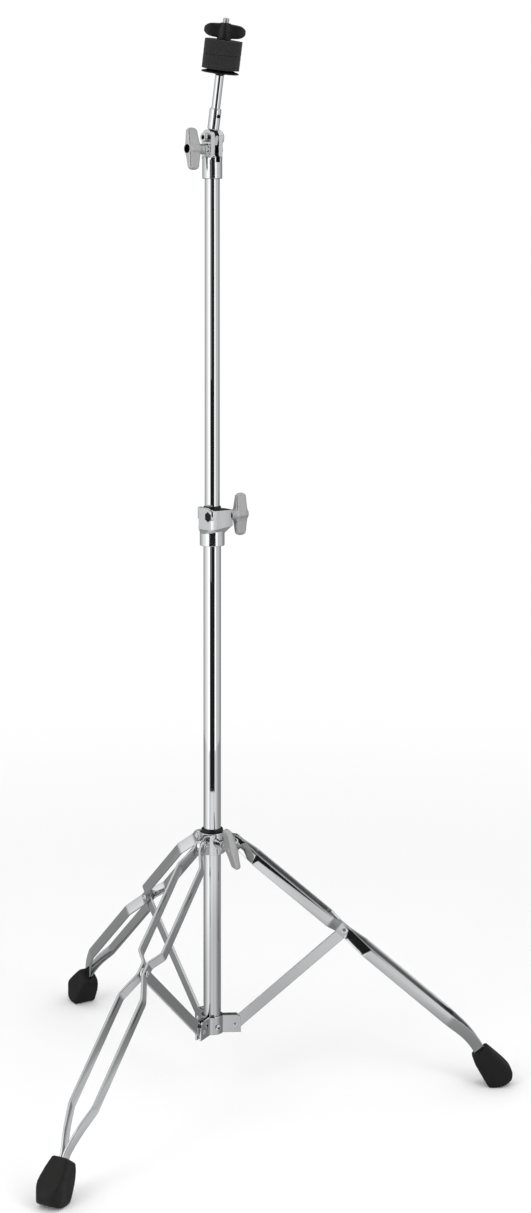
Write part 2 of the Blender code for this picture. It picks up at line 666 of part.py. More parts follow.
def build_collar(stand):
    """The die-cast collar with three lugs and the boss of its wing bolt, its liner, bolt and rivets."""
    frame = empty("collar", stand, shift(0, 0, COLLAR_HEIGHT))
    collar = piece("leg_collar", rod(COLLAR_RADIUS, -COLLAR_DROP, COLLAR_RISE, PART_SIDES), frame, cast_chrome())
    half = LUG_THICKNESS / 2
    root_half = LUG_ROOT_THICKNESS / 2
    for side, azimuth in LEG_AZIMUTHS.items():
        lug = moved(prism(lug_outline(), -half, half), turn(90, "X"))
        unite(collar, moved(lug, turn(azimuth, "Z")), f"lug_{side}")
        web = prism([(COLLAR_BORE + FIT_GAP, -root_half), (LUG_ROOT_REACH, -half - FIT_GAP / 2),
                     (LUG_ROOT_REACH, half + FIT_GAP / 2), (COLLAR_BORE + FIT_GAP, root_half)],
                    2 * LUG_INSET - COLLAR_DROP, COLLAR_RISE - 2 * LUG_INSET)
        unite(collar, moved(web, turn(azimuth, "Z")), f"web_{side}")
    boss = moved(rod(COLLAR_BOSS_RADIUS, COLLAR_BORE + FIT_GAP, COLLAR_BOSS_REACH, PART_SIDES), ALONG_X)
    unite(collar, moved(boss, turn(COLLAR_BOLT_AZIMUTH, "Z")), "boss")
    cut(collar, rod(COLLAR_BORE, -COLLAR_DROP * 2, COLLAR_RISE * 2, TUBE_SIDES), "bore")
    hole = moved(rod(BOLT_CLEAR, 0, COLLAR_BOSS_REACH * 2, PIN_SIDES), ALONG_X)
    cut(collar, moved(hole, turn(COLLAR_BOLT_AZIMUTH, "Z")), "bolt_hole")
    for side, azimuth in LEG_AZIMUTHS.items():
        pin = moved(cross_pin(RIVET_DIAMETER / 2 + FIT_GAP, LUG_THICKNESS), shift(PIVOT_RADIUS))
        cut(collar, moved(pin, turn(azimuth, "Z")), f"rivet_hole_{side}")
        spot = empty(f"collar_{side}", frame, turn(azimuth, "Z"))
        rivet(f"collar_rivet_{side}", spot, COLLAR_OFFSET + STRIP_THICKNESS / 2, shift(PIVOT_RADIUS))
    flange = COLLAR_RISE + FIT_GAP
    profile = [(LINER_INNER, -COLLAR_DROP), (LINER_OUTER, -COLLAR_DROP), (LINER_OUTER, flange),
               (LINER_FLANGE_RADIUS, flange), (LINER_FLANGE_RADIUS, flange + LINER_FLANGE_HEIGHT),
               (LINER_INNER, flange + LINER_FLANGE_HEIGHT)]
    piece("collar_liner", turned(profile, TUBE_SIDES, closed=True), frame, black_nylon())
    spot = empty("collar_bolt", frame, turn(COLLAR_BOLT_AZIMUTH, "Z") @ ALONG_X)
    seat = COLLAR_BOSS_REACH + FIT_GAP
    bolt = piece("collar_wing_bolt", wing_solid(), spot, blasted_chrome(),
                 shift(0, 0, seat) @ turn(COLLAR_BOLT_LEAN, "Z"))
    shank_end = LINER_OUTER + FIT_GAP - seat
    unite(bolt, nut_hub_solid(), "hub")
    unite(bolt, rod(BOLT_DIAMETER / 2, shank_end, NUT_NECK_LENGTH, PIN_SIDES), "shank")
    cut(bolt, rod(NUT_RECESS_RADIUS, NUT_LENGTH - NUT_RECESS_DEPTH, NUT_LENGTH * 2, PART_SIDES), "recess")


def wing_ring(across, centre, depth, thickness):
    """One section of a wing, an oval with flattened sides, at a distance from the nut's axis."""
    points = []
    for index in range(12):
        angle = math.radians(30 * index + 15)
        wide = math.copysign(abs(math.cos(angle)) ** 0.7, math.cos(angle)) * depth / 2
        thick = math.copysign(abs(math.sin(angle)) ** 0.7, math.sin(angle)) * thickness / 2
        points.append(Vector((across, thick, centre + wide)))
    return points


def wing_solid():
    """Both wings of a metal wing nut, with the nut's axis along Z and its wings along X."""
    half = WING_SPAN / 2
    root_centre = (NUT_NECK_LENGTH + NUT_LENGTH) / 2
    root_depth = NUT_LENGTH - NUT_NECK_LENGTH
    rings = []
    for share in (-1.0, -0.97, -0.88, -0.65, -0.4, -0.15, 0.15, 0.4, 0.65, 0.88, 0.97, 1.0):
        out = abs(share)
        blend = max(out - 0.15, 0.0) / 0.85
        close = 1.0 if out < 0.9 else math.sqrt(max(1 - ((out - 0.85) / 0.16) ** 2, 0.05))
        depth = (root_depth + (WING_TIP_DEPTH - root_depth) * blend) * close
        centre = root_centre + (WING_TIP_CENTRE - root_centre) * blend
        thickness = (WING_ROOT_THICKNESS + (WING_TIP_THICKNESS - WING_ROOT_THICKNESS) * blend ** 0.6) * close
        rings.append(wing_ring(share * half, centre, depth, thickness))
    return loft(rings)


def nut_hub_solid():
    """Round hub of a metal wing nut along Z, from its seat at Z = 0."""
    rim = NUT_RECESS_RADIUS + 0.0011
    return turned([(0, 0), (NUT_NECK_RADIUS, 0), (NUT_NECK_RADIUS, NUT_NECK_LENGTH * 0.8),
                   (NUT_HUB_RADIUS, NUT_NECK_LENGTH * 1.5), (NUT_HUB_RADIUS, NUT_LENGTH * 0.8),
                   (rim, NUT_LENGTH), (0, NUT_LENGTH)], PART_SIDES)


def wing_nut(name, parent, place):
    """A metal wing nut with its bore and the recess where the bolt ends."""
    nut = piece(name, wing_solid(), parent, blasted_chrome(), place)
    unite(nut, nut_hub_solid(), "hub")
    cut(nut, rod(BOLT_CLEAR, -0.01, NUT_LENGTH * 2, PIN_SIDES), "bore")
    cut(nut, rod(NUT_RECESS_RADIUS, NUT_LENGTH - NUT_RECESS_DEPTH, NUT_LENGTH * 2, PART_SIDES), "recess")


def hex_bolt(name, parent, reach, place):
    """A hex bolt along Z whose head lies below its seat at Z = 0."""
    bolt = piece(name, hexagon(BOLT_HEAD_FLATS, -BOLT_HEAD_HEIGHT, 0), parent, chrome(), place)
    unite(bolt, rod(BOLT_DIAMETER / 2, -BOLT_HEAD_HEIGHT / 2, reach, PIN_SIDES), "shank")


def clamp_outline():
    """Plan of the clamp block: X towards its front face, Y along its bolt. Its back stays inside the sleeve."""
    inside = arc((0, 0), 0.94 * SLEEVE_RADIUS, 112, 236, 5)
    return [(CLAMP_FRONT_FACE, -CLAMP_HEX_FACE), (CLAMP_FRONT_FACE, CLAMP_FAR_FACE),
            (CLAMP_BACK_CORNER, CLAMP_FAR_FACE)] + inside + [(-CLAMP_BACK_CORNER, -CLAMP_HEX_FACE)]


def build_height_clamp(stand):
    """The die-cast height clamp with its bolt, washer and nylon bushing."""
    frame = empty("clamp", stand, shift(0, 0, BLOCK_BOTTOM) @ turn(CLAMP_AZIMUTH, "Z"))
    bottom = CLAMP_BOTTOM - BLOCK_BOTTOM
    sleeve = rod(SLEEVE_RADIUS, bottom, CLAMP_BLOCK_HEIGHT, TUBE_SIDES)
    clamp = piece("height_clamp", sleeve, frame, cast_chrome())
    unite(clamp, prism(clamp_outline(), 0, CLAMP_BLOCK_HEIGHT), "block")
    ear_inner = -CLAMP_HEX_FACE + CLAMP_EAR_THICKNESS
    ear = prism([(CLAMP_FRONT_FACE * 0.99, -CLAMP_HEX_FACE * 0.99), (CLAMP_FRONT_FACE * 0.99, ear_inner - FIT_GAP),
                 (-SLEEVE_RADIUS * 0.4, ear_inner - FIT_GAP), (-SLEEVE_RADIUS * 0.4, -CLAMP_HEX_FACE * 0.99)],
                CLAMP_BLOCK_HEIGHT / 2, CLAMP_BLOCK_HEIGHT + CLAMP_EAR_EXTRA)
    unite(clamp, ear, "ear_top")
    cut(clamp, rod(BASE_RADIUS + FIT_GAP, bottom * 2, CLAMP_BLOCK_HEIGHT * 2, TUBE_SIDES), "bore")
    slit_back = -CLAMP_SLIT
    slit = prism([(slit_back, ear_inner), (CLAMP_FRONT_FACE * 2, ear_inner),
                  (CLAMP_FRONT_FACE * 2, ear_inner + CLAMP_SLIT), (slit_back, ear_inner + CLAMP_SLIT)],
                 -FIT_GAP, CLAMP_BLOCK_HEIGHT * 2)
    cut(clamp, slit, "slit")
    bolt_line = shift(CLAMP_BOLT_OFFSET, 0, CLAMP_BOLT_RISE) @ ALONG_Y
    cut(clamp, moved(rod(BOLT_CLEAR, -CLAMP_HEX_FACE * 2, CLAMP_FAR_FACE * 2, PIN_SIDES), bolt_line), "bolt_hole")
    seat = -CLAMP_HEX_FACE + HEX_POCKET_DEPTH
    pocket = hexagon(BOLT_HEAD_FLATS + 2 * FIT_GAP, -CLAMP_HEX_FACE * 2, seat)
    cut(clamp, moved(pocket, bolt_line @ turn(30, "Z")), "hex_pocket")
    hex_bolt("clamp_bolt", frame, CLAMP_BOLT_REACH - seat, bolt_line @ shift(0, 0, seat - FIT_GAP) @ turn(30, "Z"))
    washer = ring(BOLT_CLEAR, WASHER_RADIUS, 0, WASHER_THICKNESS, PART_SIDES)
    washer_seat = CLAMP_FAR_FACE + FIT_GAP
    piece("clamp_washer", washer, frame, chrome(), bolt_line @ shift(0, 0, washer_seat))
    spot = empty("clamp_nut", frame, bolt_line)
    nut_seat = washer_seat + WASHER_THICKNESS + FIT_GAP
    wing_nut("clamp_wing_nut", spot, shift(0, 0, nut_seat) @ turn(90, "Z"))
    bushing = ring(UPPER_RADIUS + FIT_GAP, BASE_RADIUS, 0, BUSHING_HEIGHT, TUBE_SIDES)
    piece("tube_bushing", bushing, frame, black_nylon())


def fork_outline():
    """Side view of the tilter's fork: X across and Y up from the socket's bottom."""
    eye = arc((0, TILT_PIVOT_HEIGHT), FORK_EYE_RADIUS, -8, 188, 14)
    foot = SOCKET_HEIGHT * 0.78
    return [(-FORK_WAIST, foot), (FORK_WAIST, foot)] + eye


def build_tilter_base(upper):
    """The die-cast socket and fork on the upper tube, with the bolts that cross the fork."""
    frame = empty("tilter", upper, shift(0, 0, SOCKET_BOTTOM) @ turn(CLAMP_AZIMUTH, "Z"))
    socket = turned([(0, 0), (SOCKET_RADIUS, 0), (SOCKET_RADIUS, SOCKET_HEIGHT - SOCKET_SLOPE),
                     (FORK_WAIST * 0.93, SOCKET_HEIGHT), (0, SOCKET_HEIGHT)], TUBE_SIDES)
    base = piece("tilter_base", socket, frame, cast_chrome())
    fork = moved(prism(fork_outline(), -FORK_HALF, FORK_HALF), turn(90, "X"))
    unite(base, fork, "fork")
    bolt_line = shift(0, 0, TILTER_BOLT_HEIGHT) @ turn(90, "X")
    boss_end = FORK_HALF + FORK_BOSS_LENGTH
    unite(base, moved(rod(FORK_BOSS_RADIUS, FORK_SLOT, boss_end, PART_SIDES), bolt_line), "boss")
    cut(base, rod(UPPER_RADIUS + FIT_GAP, -SOCKET_DEPTH, SOCKET_DEPTH, TUBE_SIDES), "tube_bore")
    half = FORK_SLOT / 2
    top = TILT_PIVOT_HEIGHT * 2
    slot = prism([(-SOCKET_RADIUS * 2, -half), (SOCKET_RADIUS * 2, -half), (SOCKET_RADIUS * 2, half),
                  (-SOCKET_RADIUS * 2, half)], SLOT_BOTTOM, top)
    cut(base, slot, "slot")
    cut(base, moved(cross_pin(BOLT_CLEAR, boss_end * 2), shift(0, 0, TILTER_BOLT_HEIGHT)), "bolt_hole")
    pivot_hole = cross_pin(PIVOT_BOLT_DIAMETER / 2 + FIT_GAP, boss_end * 2)
    cut(base, moved(pivot_hole, shift(0, 0, TILT_PIVOT_HEIGHT)), "pivot_hole")
    build_tilter_bolts(frame, bolt_line)


def build_tilter_bolts(frame, bolt_line):
    """The clamp bolt, washer and wing nut, and the pivot bolt and its nut."""
    boss_end = FORK_HALF + FORK_BOSS_LENGTH
    back = -FORK_HALF - FIT_GAP
    hex_bolt("tilter_clamp_bolt", frame, TILTER_BOLT_REACH - back, bolt_line @ shift(0, 0, back))
    washer = ring(BOLT_CLEAR, WASHER_RADIUS, 0, WASHER_THICKNESS, PART_SIDES)
    washer_seat = boss_end + FIT_GAP
    piece("tilter_washer", washer, frame, chrome(), bolt_line @ shift(0, 0, washer_seat))
    spot = empty("tilter_nut", frame, bolt_line)
    nut_seat = washer_seat + WASHER_THICKNESS + FIT_GAP
    wing_nut("tilter_wing_nut", spot, shift(0, 0, nut_seat) @ turn(90 + 5, "Z"))
    pivot_line = shift(0, 0, TILT_PIVOT_HEIGHT) @ turn(90, "X")
    seat = FORK_HALF + FIT_GAP
    shank = PIVOT_BOLT_DIAMETER / 2
    far_end = -seat - PIVOT_NUT_HEIGHT - shank / 2
    head_end = seat + PIVOT_HEAD_LENGTH
    profile = [(0, far_end), (shank, far_end), (shank, seat), (PIVOT_HEAD_RADIUS, seat),
               (PIVOT_HEAD_RADIUS, head_end), (0, head_end)]
    bolt = piece("pivot_bolt", turned(profile, PIN_SIDES), frame, chrome(), pivot_line)
    cut(bolt, hexagon(PIVOT_SOCKET_FLATS, head_end - PIVOT_SOCKET_DEPTH, head_end * 2), "key")
    nut = piece("pivot_nut", hexagon(PIVOT_NUT_FLATS, 0, PIVOT_NUT_HEIGHT), frame, chrome(),
                pivot_line @ shift(0, 0, -seat - PIVOT_NUT_HEIGHT))
    cut(nut, rod(shank + FIT_GAP, -seat, seat, PIN_SIDES), "thread")


def build_tilter_arm(arm):
    """The disc and stem between the fork's ears, the rod in it and the set screw."""
    half = FORK_SLOT / 2 - FIT_GAP
    neck_half = STEM_RADIUS * 0.9
    neck_top = (STEM_START + ROD_START) / 2
    spread = math.degrees(math.asin(neck_half / ARM_DISC_RADIUS))
    outline = arc((0, 0), ARM_DISC_RADIUS, 90 + spread, 450 - spread, 20) + \
        [(neck_half, neck_top), (-neck_half, neck_top)]
    body = piece("tilter_arm", moved(prism(outline, -half, half), turn(90, "X")), arm, cast_chrome())
    unite(body, rod(STEM_RADIUS, STEM_START, STEM_END, PART_SIDES), "stem")
    cut(body, rod(ROD_RADIUS + FIT_GAP, ROD_START - FIT_GAP, STEM_END * 2, PART_SIDES), "rod_bore")
    cut(body, cross_pin(PIVOT_BOLT_DIAMETER / 2 + FIT_GAP, FORK_SLOT), "pivot_hole")
    hole = moved(rod(SET_SCREW_RADIUS + FIT_GAP, 0, STEM_RADIUS * 2, PIN_SIDES), ALONG_X)
    cut(body, moved(hole, shift(0, 0, SET_SCREW_PLACE)), "screw_hole")
    start = ROD_RADIUS + FIT_GAP
    screw = piece("set_screw", moved(rod(SET_SCREW_RADIUS, start, start + SET_SCREW_LENGTH, PIN_SIDES), ALONG_X),
                  arm, chrome(), shift(0, 0, SET_SCREW_PLACE))
    key = moved(hexagon(SET_SCREW_RADIUS, start + SET_SCREW_LENGTH / 2, STEM_RADIUS * 2), ALONG_X)
    cut(screw, key, "key")
    profile = [(0, ROD_START), (ROD_RADIUS, ROD_START), (ROD_RADIUS, ROD_SHOULDER), (THREAD_RADIUS, ROD_SHOULDER),
               (THREAD_RADIUS, ROD_TIP), (0, ROD_TIP)]
    piece("cymbal_rod", turned(profile, PART_SIDES), arm, chrome())


def felt_solid(bottom, bore):
    """A felt disc with soft edges."""
    top = bottom + FELT_HEIGHT
    profile = [(bore, bottom), (FELT_RADIUS - FELT_EDGE, bottom), (FELT_RADIUS, bottom + FELT_EDGE),
               (FELT_RADIUS, top - FELT_EDGE), (FELT_RADIUS - FELT_EDGE, top), (bore, top)]
    return turned(profile, TUBE_SIDES, closed=True)


def build_cymbal_mount(arm):
    """The seat, sleeve, felts and plastic wing nut on the rod's thread."""
    rim = SEAT_BOTTOM + SEAT_HUB_DROP
    rim_top = rim + SEAT_RIM_THICKNESS
    profile = [(THREAD_CLEAR, SEAT_BOTTOM), (SEAT_HUB_RADIUS, SEAT_BOTTOM), (SEAT_HUB_RADIUS, rim),
               (SEAT_RADIUS, rim), (SEAT_RADIUS, rim + 0.6 * SEAT_RIM_THICKNESS),
               (SEAT_RADIUS * 0.9, rim_top), (SEAT_DOME_RADIUS, SEAT_TOP), (THREAD_CLEAR, SEAT_TOP)]
    piece("cymbal_seat", turned(profile, TUBE_SIDES, closed=True), arm, black_plastic())
    sleeve = THREAD_CLEAR + SLEEVE_WALL
    piece("cymbal_sleeve", ring(THREAD_CLEAR, sleeve, LOWER_FELT_BOTTOM, LOWER_FELT_BOTTOM + CYMBAL_SLEEVE_HEIGHT,
                                PART_SIDES), arm, black_nylon())
    bore = sleeve + FIT_GAP
    piece("lower_felt", felt_solid(LOWER_FELT_BOTTOM, bore), arm, black_felt())
    piece("upper_felt", felt_solid(UPPER_FELT_BOTTOM, bore), arm, black_felt())
    build_top_nut(arm)


def build_top_nut(arm):
    """The black plastic wing nut, with low wings along X and its axis along Z."""
    half = TOP_WING_SPAN / 2
    rings = []
    for share in (-1.0, -0.97, -0.88, -0.65, -0.4, -0.2, 0.2, 0.4, 0.65, 0.88, 0.97, 1.0):
        out = abs(share)
        blend = max(out - 0.2, 0.0) / 0.8
        close = 1.0 if out < 0.9 else math.sqrt(max(1 - ((out - 0.85) / 0.16) ** 2, 0.05))
        root_depth = TOP_NUT_HEIGHT * 0.9
        depth = (root_depth + (TOP_WING_TIP_DEPTH - root_depth) * blend ** 0.8) * close
        centre = TOP_NUT_HEIGHT * 0.52 + (TOP_WING_TIP_CENTRE - TOP_NUT_HEIGHT * 0.52) * blend
        thickness = (TOP_WING_ROOT + (TOP_WING_TIP_THICKNESS - TOP_WING_ROOT) * blend) * close
        rings.append(wing_ring(share * half, centre, depth, thickness))
    nut = piece("top_wing_nut", loft(rings), arm, black_plastic(),
                shift(0, 0, TOP_NUT_BOTTOM) @ turn(TOP_NUT_TURN, "Z"))
    hub = TOP_NUT_HUB_RADIUS
    unite(nut, turned([(0, 0), (hub, 0), (hub, TOP_NUT_HEIGHT * 0.55), (hub * 0.72, TOP_NUT_HEIGHT),
                       (0, TOP_NUT_HEIGHT)], PART_SIDES), "hub")
    cut(nut, rod(THREAD_CLEAR, -TOP_NUT_HEIGHT, TOP_NUT_HEIGHT * 2, PART_SIDES), "thread")


def build_upper_section(stand):
    """Everything that rises with the upper tube."""
    upper = empty("upper_section", stand)
    solid = ring(UPPER_RADIUS - TUBE_WALL, UPPER_RADIUS, UPPER_TUBE_BOTTOM, UPPER_TUBE_TOP, TUBE_SIDES)
    piece("upper_tube", solid, upper, chrome())
    build_tilter_base(upper)
    place = shift(0, 0, TILT_HEIGHT) @ turn(CLAMP_AZIMUTH, "Z") @ turn(TILT_ANGLE, "Y")
    arm = empty("arm", upper, place)
    build_tilter_arm(arm)
    build_cymbal_mount(arm)


def centre_box(stand):
    """Moves the stand along X until the origin lies under the middle of its box."""
    bpy.context.view_layer.update()
    feet = [item for item in bpy.data.objects if item.name.endswith("_foot")]
    reach = [(item.matrix_world @ vert.co).x for item in feet for vert in item.data.vertices]
    stand.location.x = -(min(reach) + max(reach)) / 2


def main():
    for item in list(bpy.data.objects):
        bpy.data.objects.remove(item)
    stand = empty("stand")
    build_base_tube(stand)
    build_bracket(stand)
    build_collar(stand)
    for side, azimuth in LEG_AZIMUTHS.items():
        spot = empty(f"tripod_{side}", stand, turn(azimuth, "Z"))
        build_leg(side, spot)
        build_brace(side, spot)
    build_height_clamp(stand)
    build_upper_section(stand)
    centre_box(stand)


main()
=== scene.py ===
"""A straight two-section cymbal stand with a double-braced tripod, dressed over its CAD frame.

Sizes are in metres. The stand stands on Z = 0, its tubes are upright and its right leg points along X.
"""

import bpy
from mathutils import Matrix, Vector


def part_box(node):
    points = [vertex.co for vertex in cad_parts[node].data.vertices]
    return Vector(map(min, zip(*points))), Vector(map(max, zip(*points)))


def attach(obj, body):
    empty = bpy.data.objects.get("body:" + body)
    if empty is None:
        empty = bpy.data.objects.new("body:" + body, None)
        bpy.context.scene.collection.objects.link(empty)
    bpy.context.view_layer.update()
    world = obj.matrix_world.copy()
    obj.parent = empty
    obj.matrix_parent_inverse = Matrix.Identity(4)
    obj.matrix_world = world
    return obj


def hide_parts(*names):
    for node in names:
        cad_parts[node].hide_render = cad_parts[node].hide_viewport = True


bl_info = {
    "name": "Cymbal Stand",
    "version": (1, 0, 0),
    "blender": (4, 5, 0),
    "location": "3D View > Sidebar > Cymbal Stand",
    "description": "Models the visible pieces of a straight cymbal stand round its CAD frame",
    "category": "Add Mesh",
}

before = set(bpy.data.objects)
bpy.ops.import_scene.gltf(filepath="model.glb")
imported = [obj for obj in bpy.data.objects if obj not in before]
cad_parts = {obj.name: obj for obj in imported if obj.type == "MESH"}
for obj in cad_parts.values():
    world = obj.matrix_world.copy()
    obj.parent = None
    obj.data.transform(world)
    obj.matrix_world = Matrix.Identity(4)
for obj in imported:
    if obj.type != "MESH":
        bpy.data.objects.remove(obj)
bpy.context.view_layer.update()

import math

import bmesh
import bpy
from bpy.props import FloatProperty, FloatVectorProperty, IntProperty, PointerProperty
from mathutils import Matrix, Vector


def middle(name):
    """Middle of a CAD node's box."""
    low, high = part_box(name)
    return (low + high) / 2


def turn(degrees, axis):
    return Matrix.Rotation(math.radians(degrees), 4, axis)


def shift(x=0.0, y=0.0, z=0.0):
    return Matrix.Translation((x, y, z))


# Places that the frame gives
AXIS_X = middle("base_tube").x
TUBE_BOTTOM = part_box("base_tube")[0].z
TUBE_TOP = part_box("base_tube")[1].z
UPPER_TUBE_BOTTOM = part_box("upper_tube")[0].z
UPPER_TUBE_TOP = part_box("upper_tube")[1].z
COLLAR_Z = middle("collar_rivet_right").z
BRACKET_Z = middle("bracket_rivet_right").z
PIVOT_RADIUS = middle("collar_rivet_right").x - AXIS_X
CLAMP_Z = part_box("tube_bushing")[0].z
SOCKET_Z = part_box("tilter_base")[0].z
STAND = shift(AXIS_X)
ALONG_X = turn(90, "Y")
ALONG_Y = turn(-90, "X")

# Tripod
AZIMUTHS = {"right": 0.0, "rear": 120.0, "front": -120.0}
LEG_ANGLE = 50.0
ARM_LENGTH = 0.181
LEG_STRAIGHT = 0.371
LEG_BEND_LENGTH = 0.040
LEG_BEND_ANGLE = 20.0
LEG_BEND_STEPS = 10
LEG_TAIL = 0.024
LEG_LENGTH = LEG_STRAIGHT + LEG_BEND_LENGTH
UPPER_RAMP = (0.010, 0.033)
MID_RAMP_IN = (0.025, 0.011)
MID_RAMP_OUT = (0.0055, 0.035)
FOOT_RAMP = 0.057
BEND_EASE = 0.003
GAP = 0.0003

# Rivets, bracket and collar
RIVET_RADIUS = 0.0025
PLATE_RISE = 0.013
PLATE_DROP = 0.009
EAR_REACH = 0.0072
EAR_CORNER = 0.007
SCREW_LENGTH = 0.006
SCREW_RECESS = 0.0026
LINER_WALL = 0.0014
COLLAR_WALL = 0.0026
COLLAR_RISE = 0.0115
COLLAR_DROP = 0.015
LUG_THICKNESS = 0.005
LUG_EYE = 0.0072
LUG_ROOT = 0.011
LUG_ROOT_REACH = 0.0213
LUG_INSET = 0.0008
BOSS_RADIUS = 0.0065
BOSS_REACH = 0.031
COLLAR_BOLT_AZIMUTH = -60.0
COLLAR_BOLT_LEAN = 16.0

# Feet, measured from where the strips enter them
FOOT_ENTRY = 0.0445
FOOT_TO_TOE = 0.0345
FOOT_NECK_HALF = 0.0114
FOOT_HEEL = 0.0132
FOOT_TOE = 0.0236
FOOT_TOE_AT = 0.0395
SOLE_RADIUS = 0.0405
SOLE_OUT = 0.0174
SOLE_HEEL = 0.0065
SOLE_TOE = 0.0245
FOOT_TIP = 0.0440
FOOT_CORNER = 0.0145

# Clamp parts
CLAMP_AZIMUTH = -53.0
BOLT_RADIUS = 0.003
HEX_FLATS = 0.0108
HEX_HEIGHT = 0.0036
WASHER_RADIUS = 0.007
WASHER_THICKNESS = 0.0015
NUT_LENGTH = 0.0245
NUT_NECK = 0.0068
NUT_HUB = 0.0077
NUT_NECK_LENGTH = 0.006
RECESS_RADIUS = 0.0057
RECESS_DEPTH = 0.0065
WING_ROOT = 0.0125
BOLT_SLIMNESS = 0.78
WING_TIP = 0.0064
WING_TIP_DEPTH = 0.0138
WING_TIP_CENTRE = 0.0160

# Height clamp
SLEEVE_RADIUS = 0.0157
SLEEVE_LENGTH = 0.0235
FRONT_CROWN = 0.0024
NUT_SINK = 0.002
UNDERSIDE_DROP = 0.0022
UNDERSIDE_RISE = 0.0015
SLIT_INSET = 0.002
SLIT_DEPTH = 0.007
SKIRT_STOPS = ((-150, 0.006), (-125, 0.009), (-95, 0.009), (-65, 0.0075), (-30, 0.0055), (0, 0.005), (30, 0.0065),
               (60, 0.009), (85, 0.009), (105, 0.005))
BLOCK_HEIGHT = 0.0225
EAR_EXTRA = 0.0035
FAR_FACE = 0.0172
HEX_FACE = 0.019
FRONT_FACE = 0.0216
CLAMP_EAR = 0.006
CLAMP_SLIT = 0.0016
CLAMP_CORNER = 0.0035
CLAMP_BOLT_OFFSET = 0.0155
CLAMP_BOLT_RISE = 0.015
CLAMP_BOLT_REACH = 0.038
POCKET_DEPTH = 0.0045
BUSHING_HEIGHT = 0.026

# Tilter
SOCKET_RADIUS = 0.0127
SOCKET_HEIGHT = 0.031
SOCKET_SLOPE = 0.0045
SOCKET_DEPTH = 0.018
SLOT_BOTTOM = 0.0205
FORK_SLOT = 0.006
FORK_EAR = 0.0065
FORK_EYE = 0.0102
EAR_BULGE = 0.0036
FORK_WAIST = 0.0092
FORK_HALF = FORK_SLOT / 2 + FORK_EAR
TILT_PIVOT = 0.052
TILTER_BOLT = 0.037
FORK_BOSS = 0.007
FORK_BOSS_LENGTH = 0.004
TILTER_BOLT_REACH = 0.035
PIVOT_RADIUS_BOLT = 0.0025
PIVOT_HEAD = 0.0060
PIVOT_HEAD_LENGTH = 0.0052
KEY_FLATS = 0.0058
KEY_DEPTH = 0.003
PIVOT_NUT_FLATS = 0.008
PIVOT_NUT_HEIGHT = 0.004
TILT_ANGLE = 11.0

# Arm and what it carries, as distances from the tilt pivot
DISC_RADIUS = 0.0086
LINK_HALF = 0.0027
LINK_HOLE = 0.0012
LINK_RISE = 0.0036
LINK_PROUD = 0.0012
LINK_Z = -0.0024
STEM_RADIUS = 0.0075
STEM_START = 0.0104
STEM_END = 0.0373
ROD_START = 0.0145
ROD_RADIUS = 0.0055
ROD_SHOULDER = 0.0798
THREAD_RADIUS = 0.004
THREAD_DEPTH = 0.0006
ROD_TIP = 0.152
SET_SCREW_PLACE = 0.028
SET_SCREW_RADIUS = 0.0022
SEAT_BOTTOM = ROD_SHOULDER + GAP
SEAT_DROP = 0.0022
SEAT_RIM = 0.0025
SEAT_DOME = 0.0022
SEAT_TOP = SEAT_BOTTOM + SEAT_DROP + SEAT_RIM + SEAT_DOME
SEAT_HUB = 0.0062
SEAT_DOME_RADIUS = 0.013
SLEEVE_WALL = 0.0017
TOP_NUT_HEIGHT = 0.0212
TOP_NUT_HUB = 0.0088
TOP_WING_ROOT = 0.0098
TOP_WING_TIP = 0.0066
TOP_WING_TIP_DEPTH = 0.0156
TOP_WING_TIP_CENTRE = 0.0112
TOP_NUT_TURN = 53.0

# Places of the frames that pieces are modelled in
LEG_PLACES = {side: STAND @ turn(azimuth, "Z") @ shift(PIVOT_RADIUS, 0, COLLAR_Z) @ turn(90 - LEG_ANGLE, "Y")
              for side, azimuth in AZIMUTHS.items()}
BRACE_PLACES = {side: STAND @ turn(azimuth, "Z") @ shift(PIVOT_RADIUS, 0, BRACKET_Z) @ turn(LEG_ANGLE - 90, "Y")
                for side, azimuth in AZIMUTHS.items()}
COLLAR_PLACE = STAND @ shift(0, 0, COLLAR_Z)
CLAMP_PLACE = STAND @ shift(0, 0, CLAMP_Z) @ turn(CLAMP_AZIMUTH, "Z")
TILTER_PLACE = STAND @ shift(0, 0, SOCKET_Z) @ turn(CLAMP_AZIMUTH, "Z")
ARM_PLACE = TILTER_PLACE @ shift(0, 0, TILT_PIVOT) @ turn(TILT_ANGLE, "Y")


def linear(code):
    """Linear colour of an sRGB hex value."""
    parts = [int(code[start:start + 2], 16) / 255 for start in (1, 3, 5)]
    return tuple(part / 12.92 if part <= 0.04045 else ((part + 0.055) / 1.055) ** 2.4 for part in parts)


def length(name, description, default):
    return FloatProperty(name=name, description=description, default=default, min=0.0, precision=4,
                         unit="LENGTH", subtype="DISTANCE")


def colour(name, description, code):
    return FloatVectorProperty(name=name, description=description, default=linear(code), min=0.0, max=1.0,
                               size=3, subtype="COLOR")


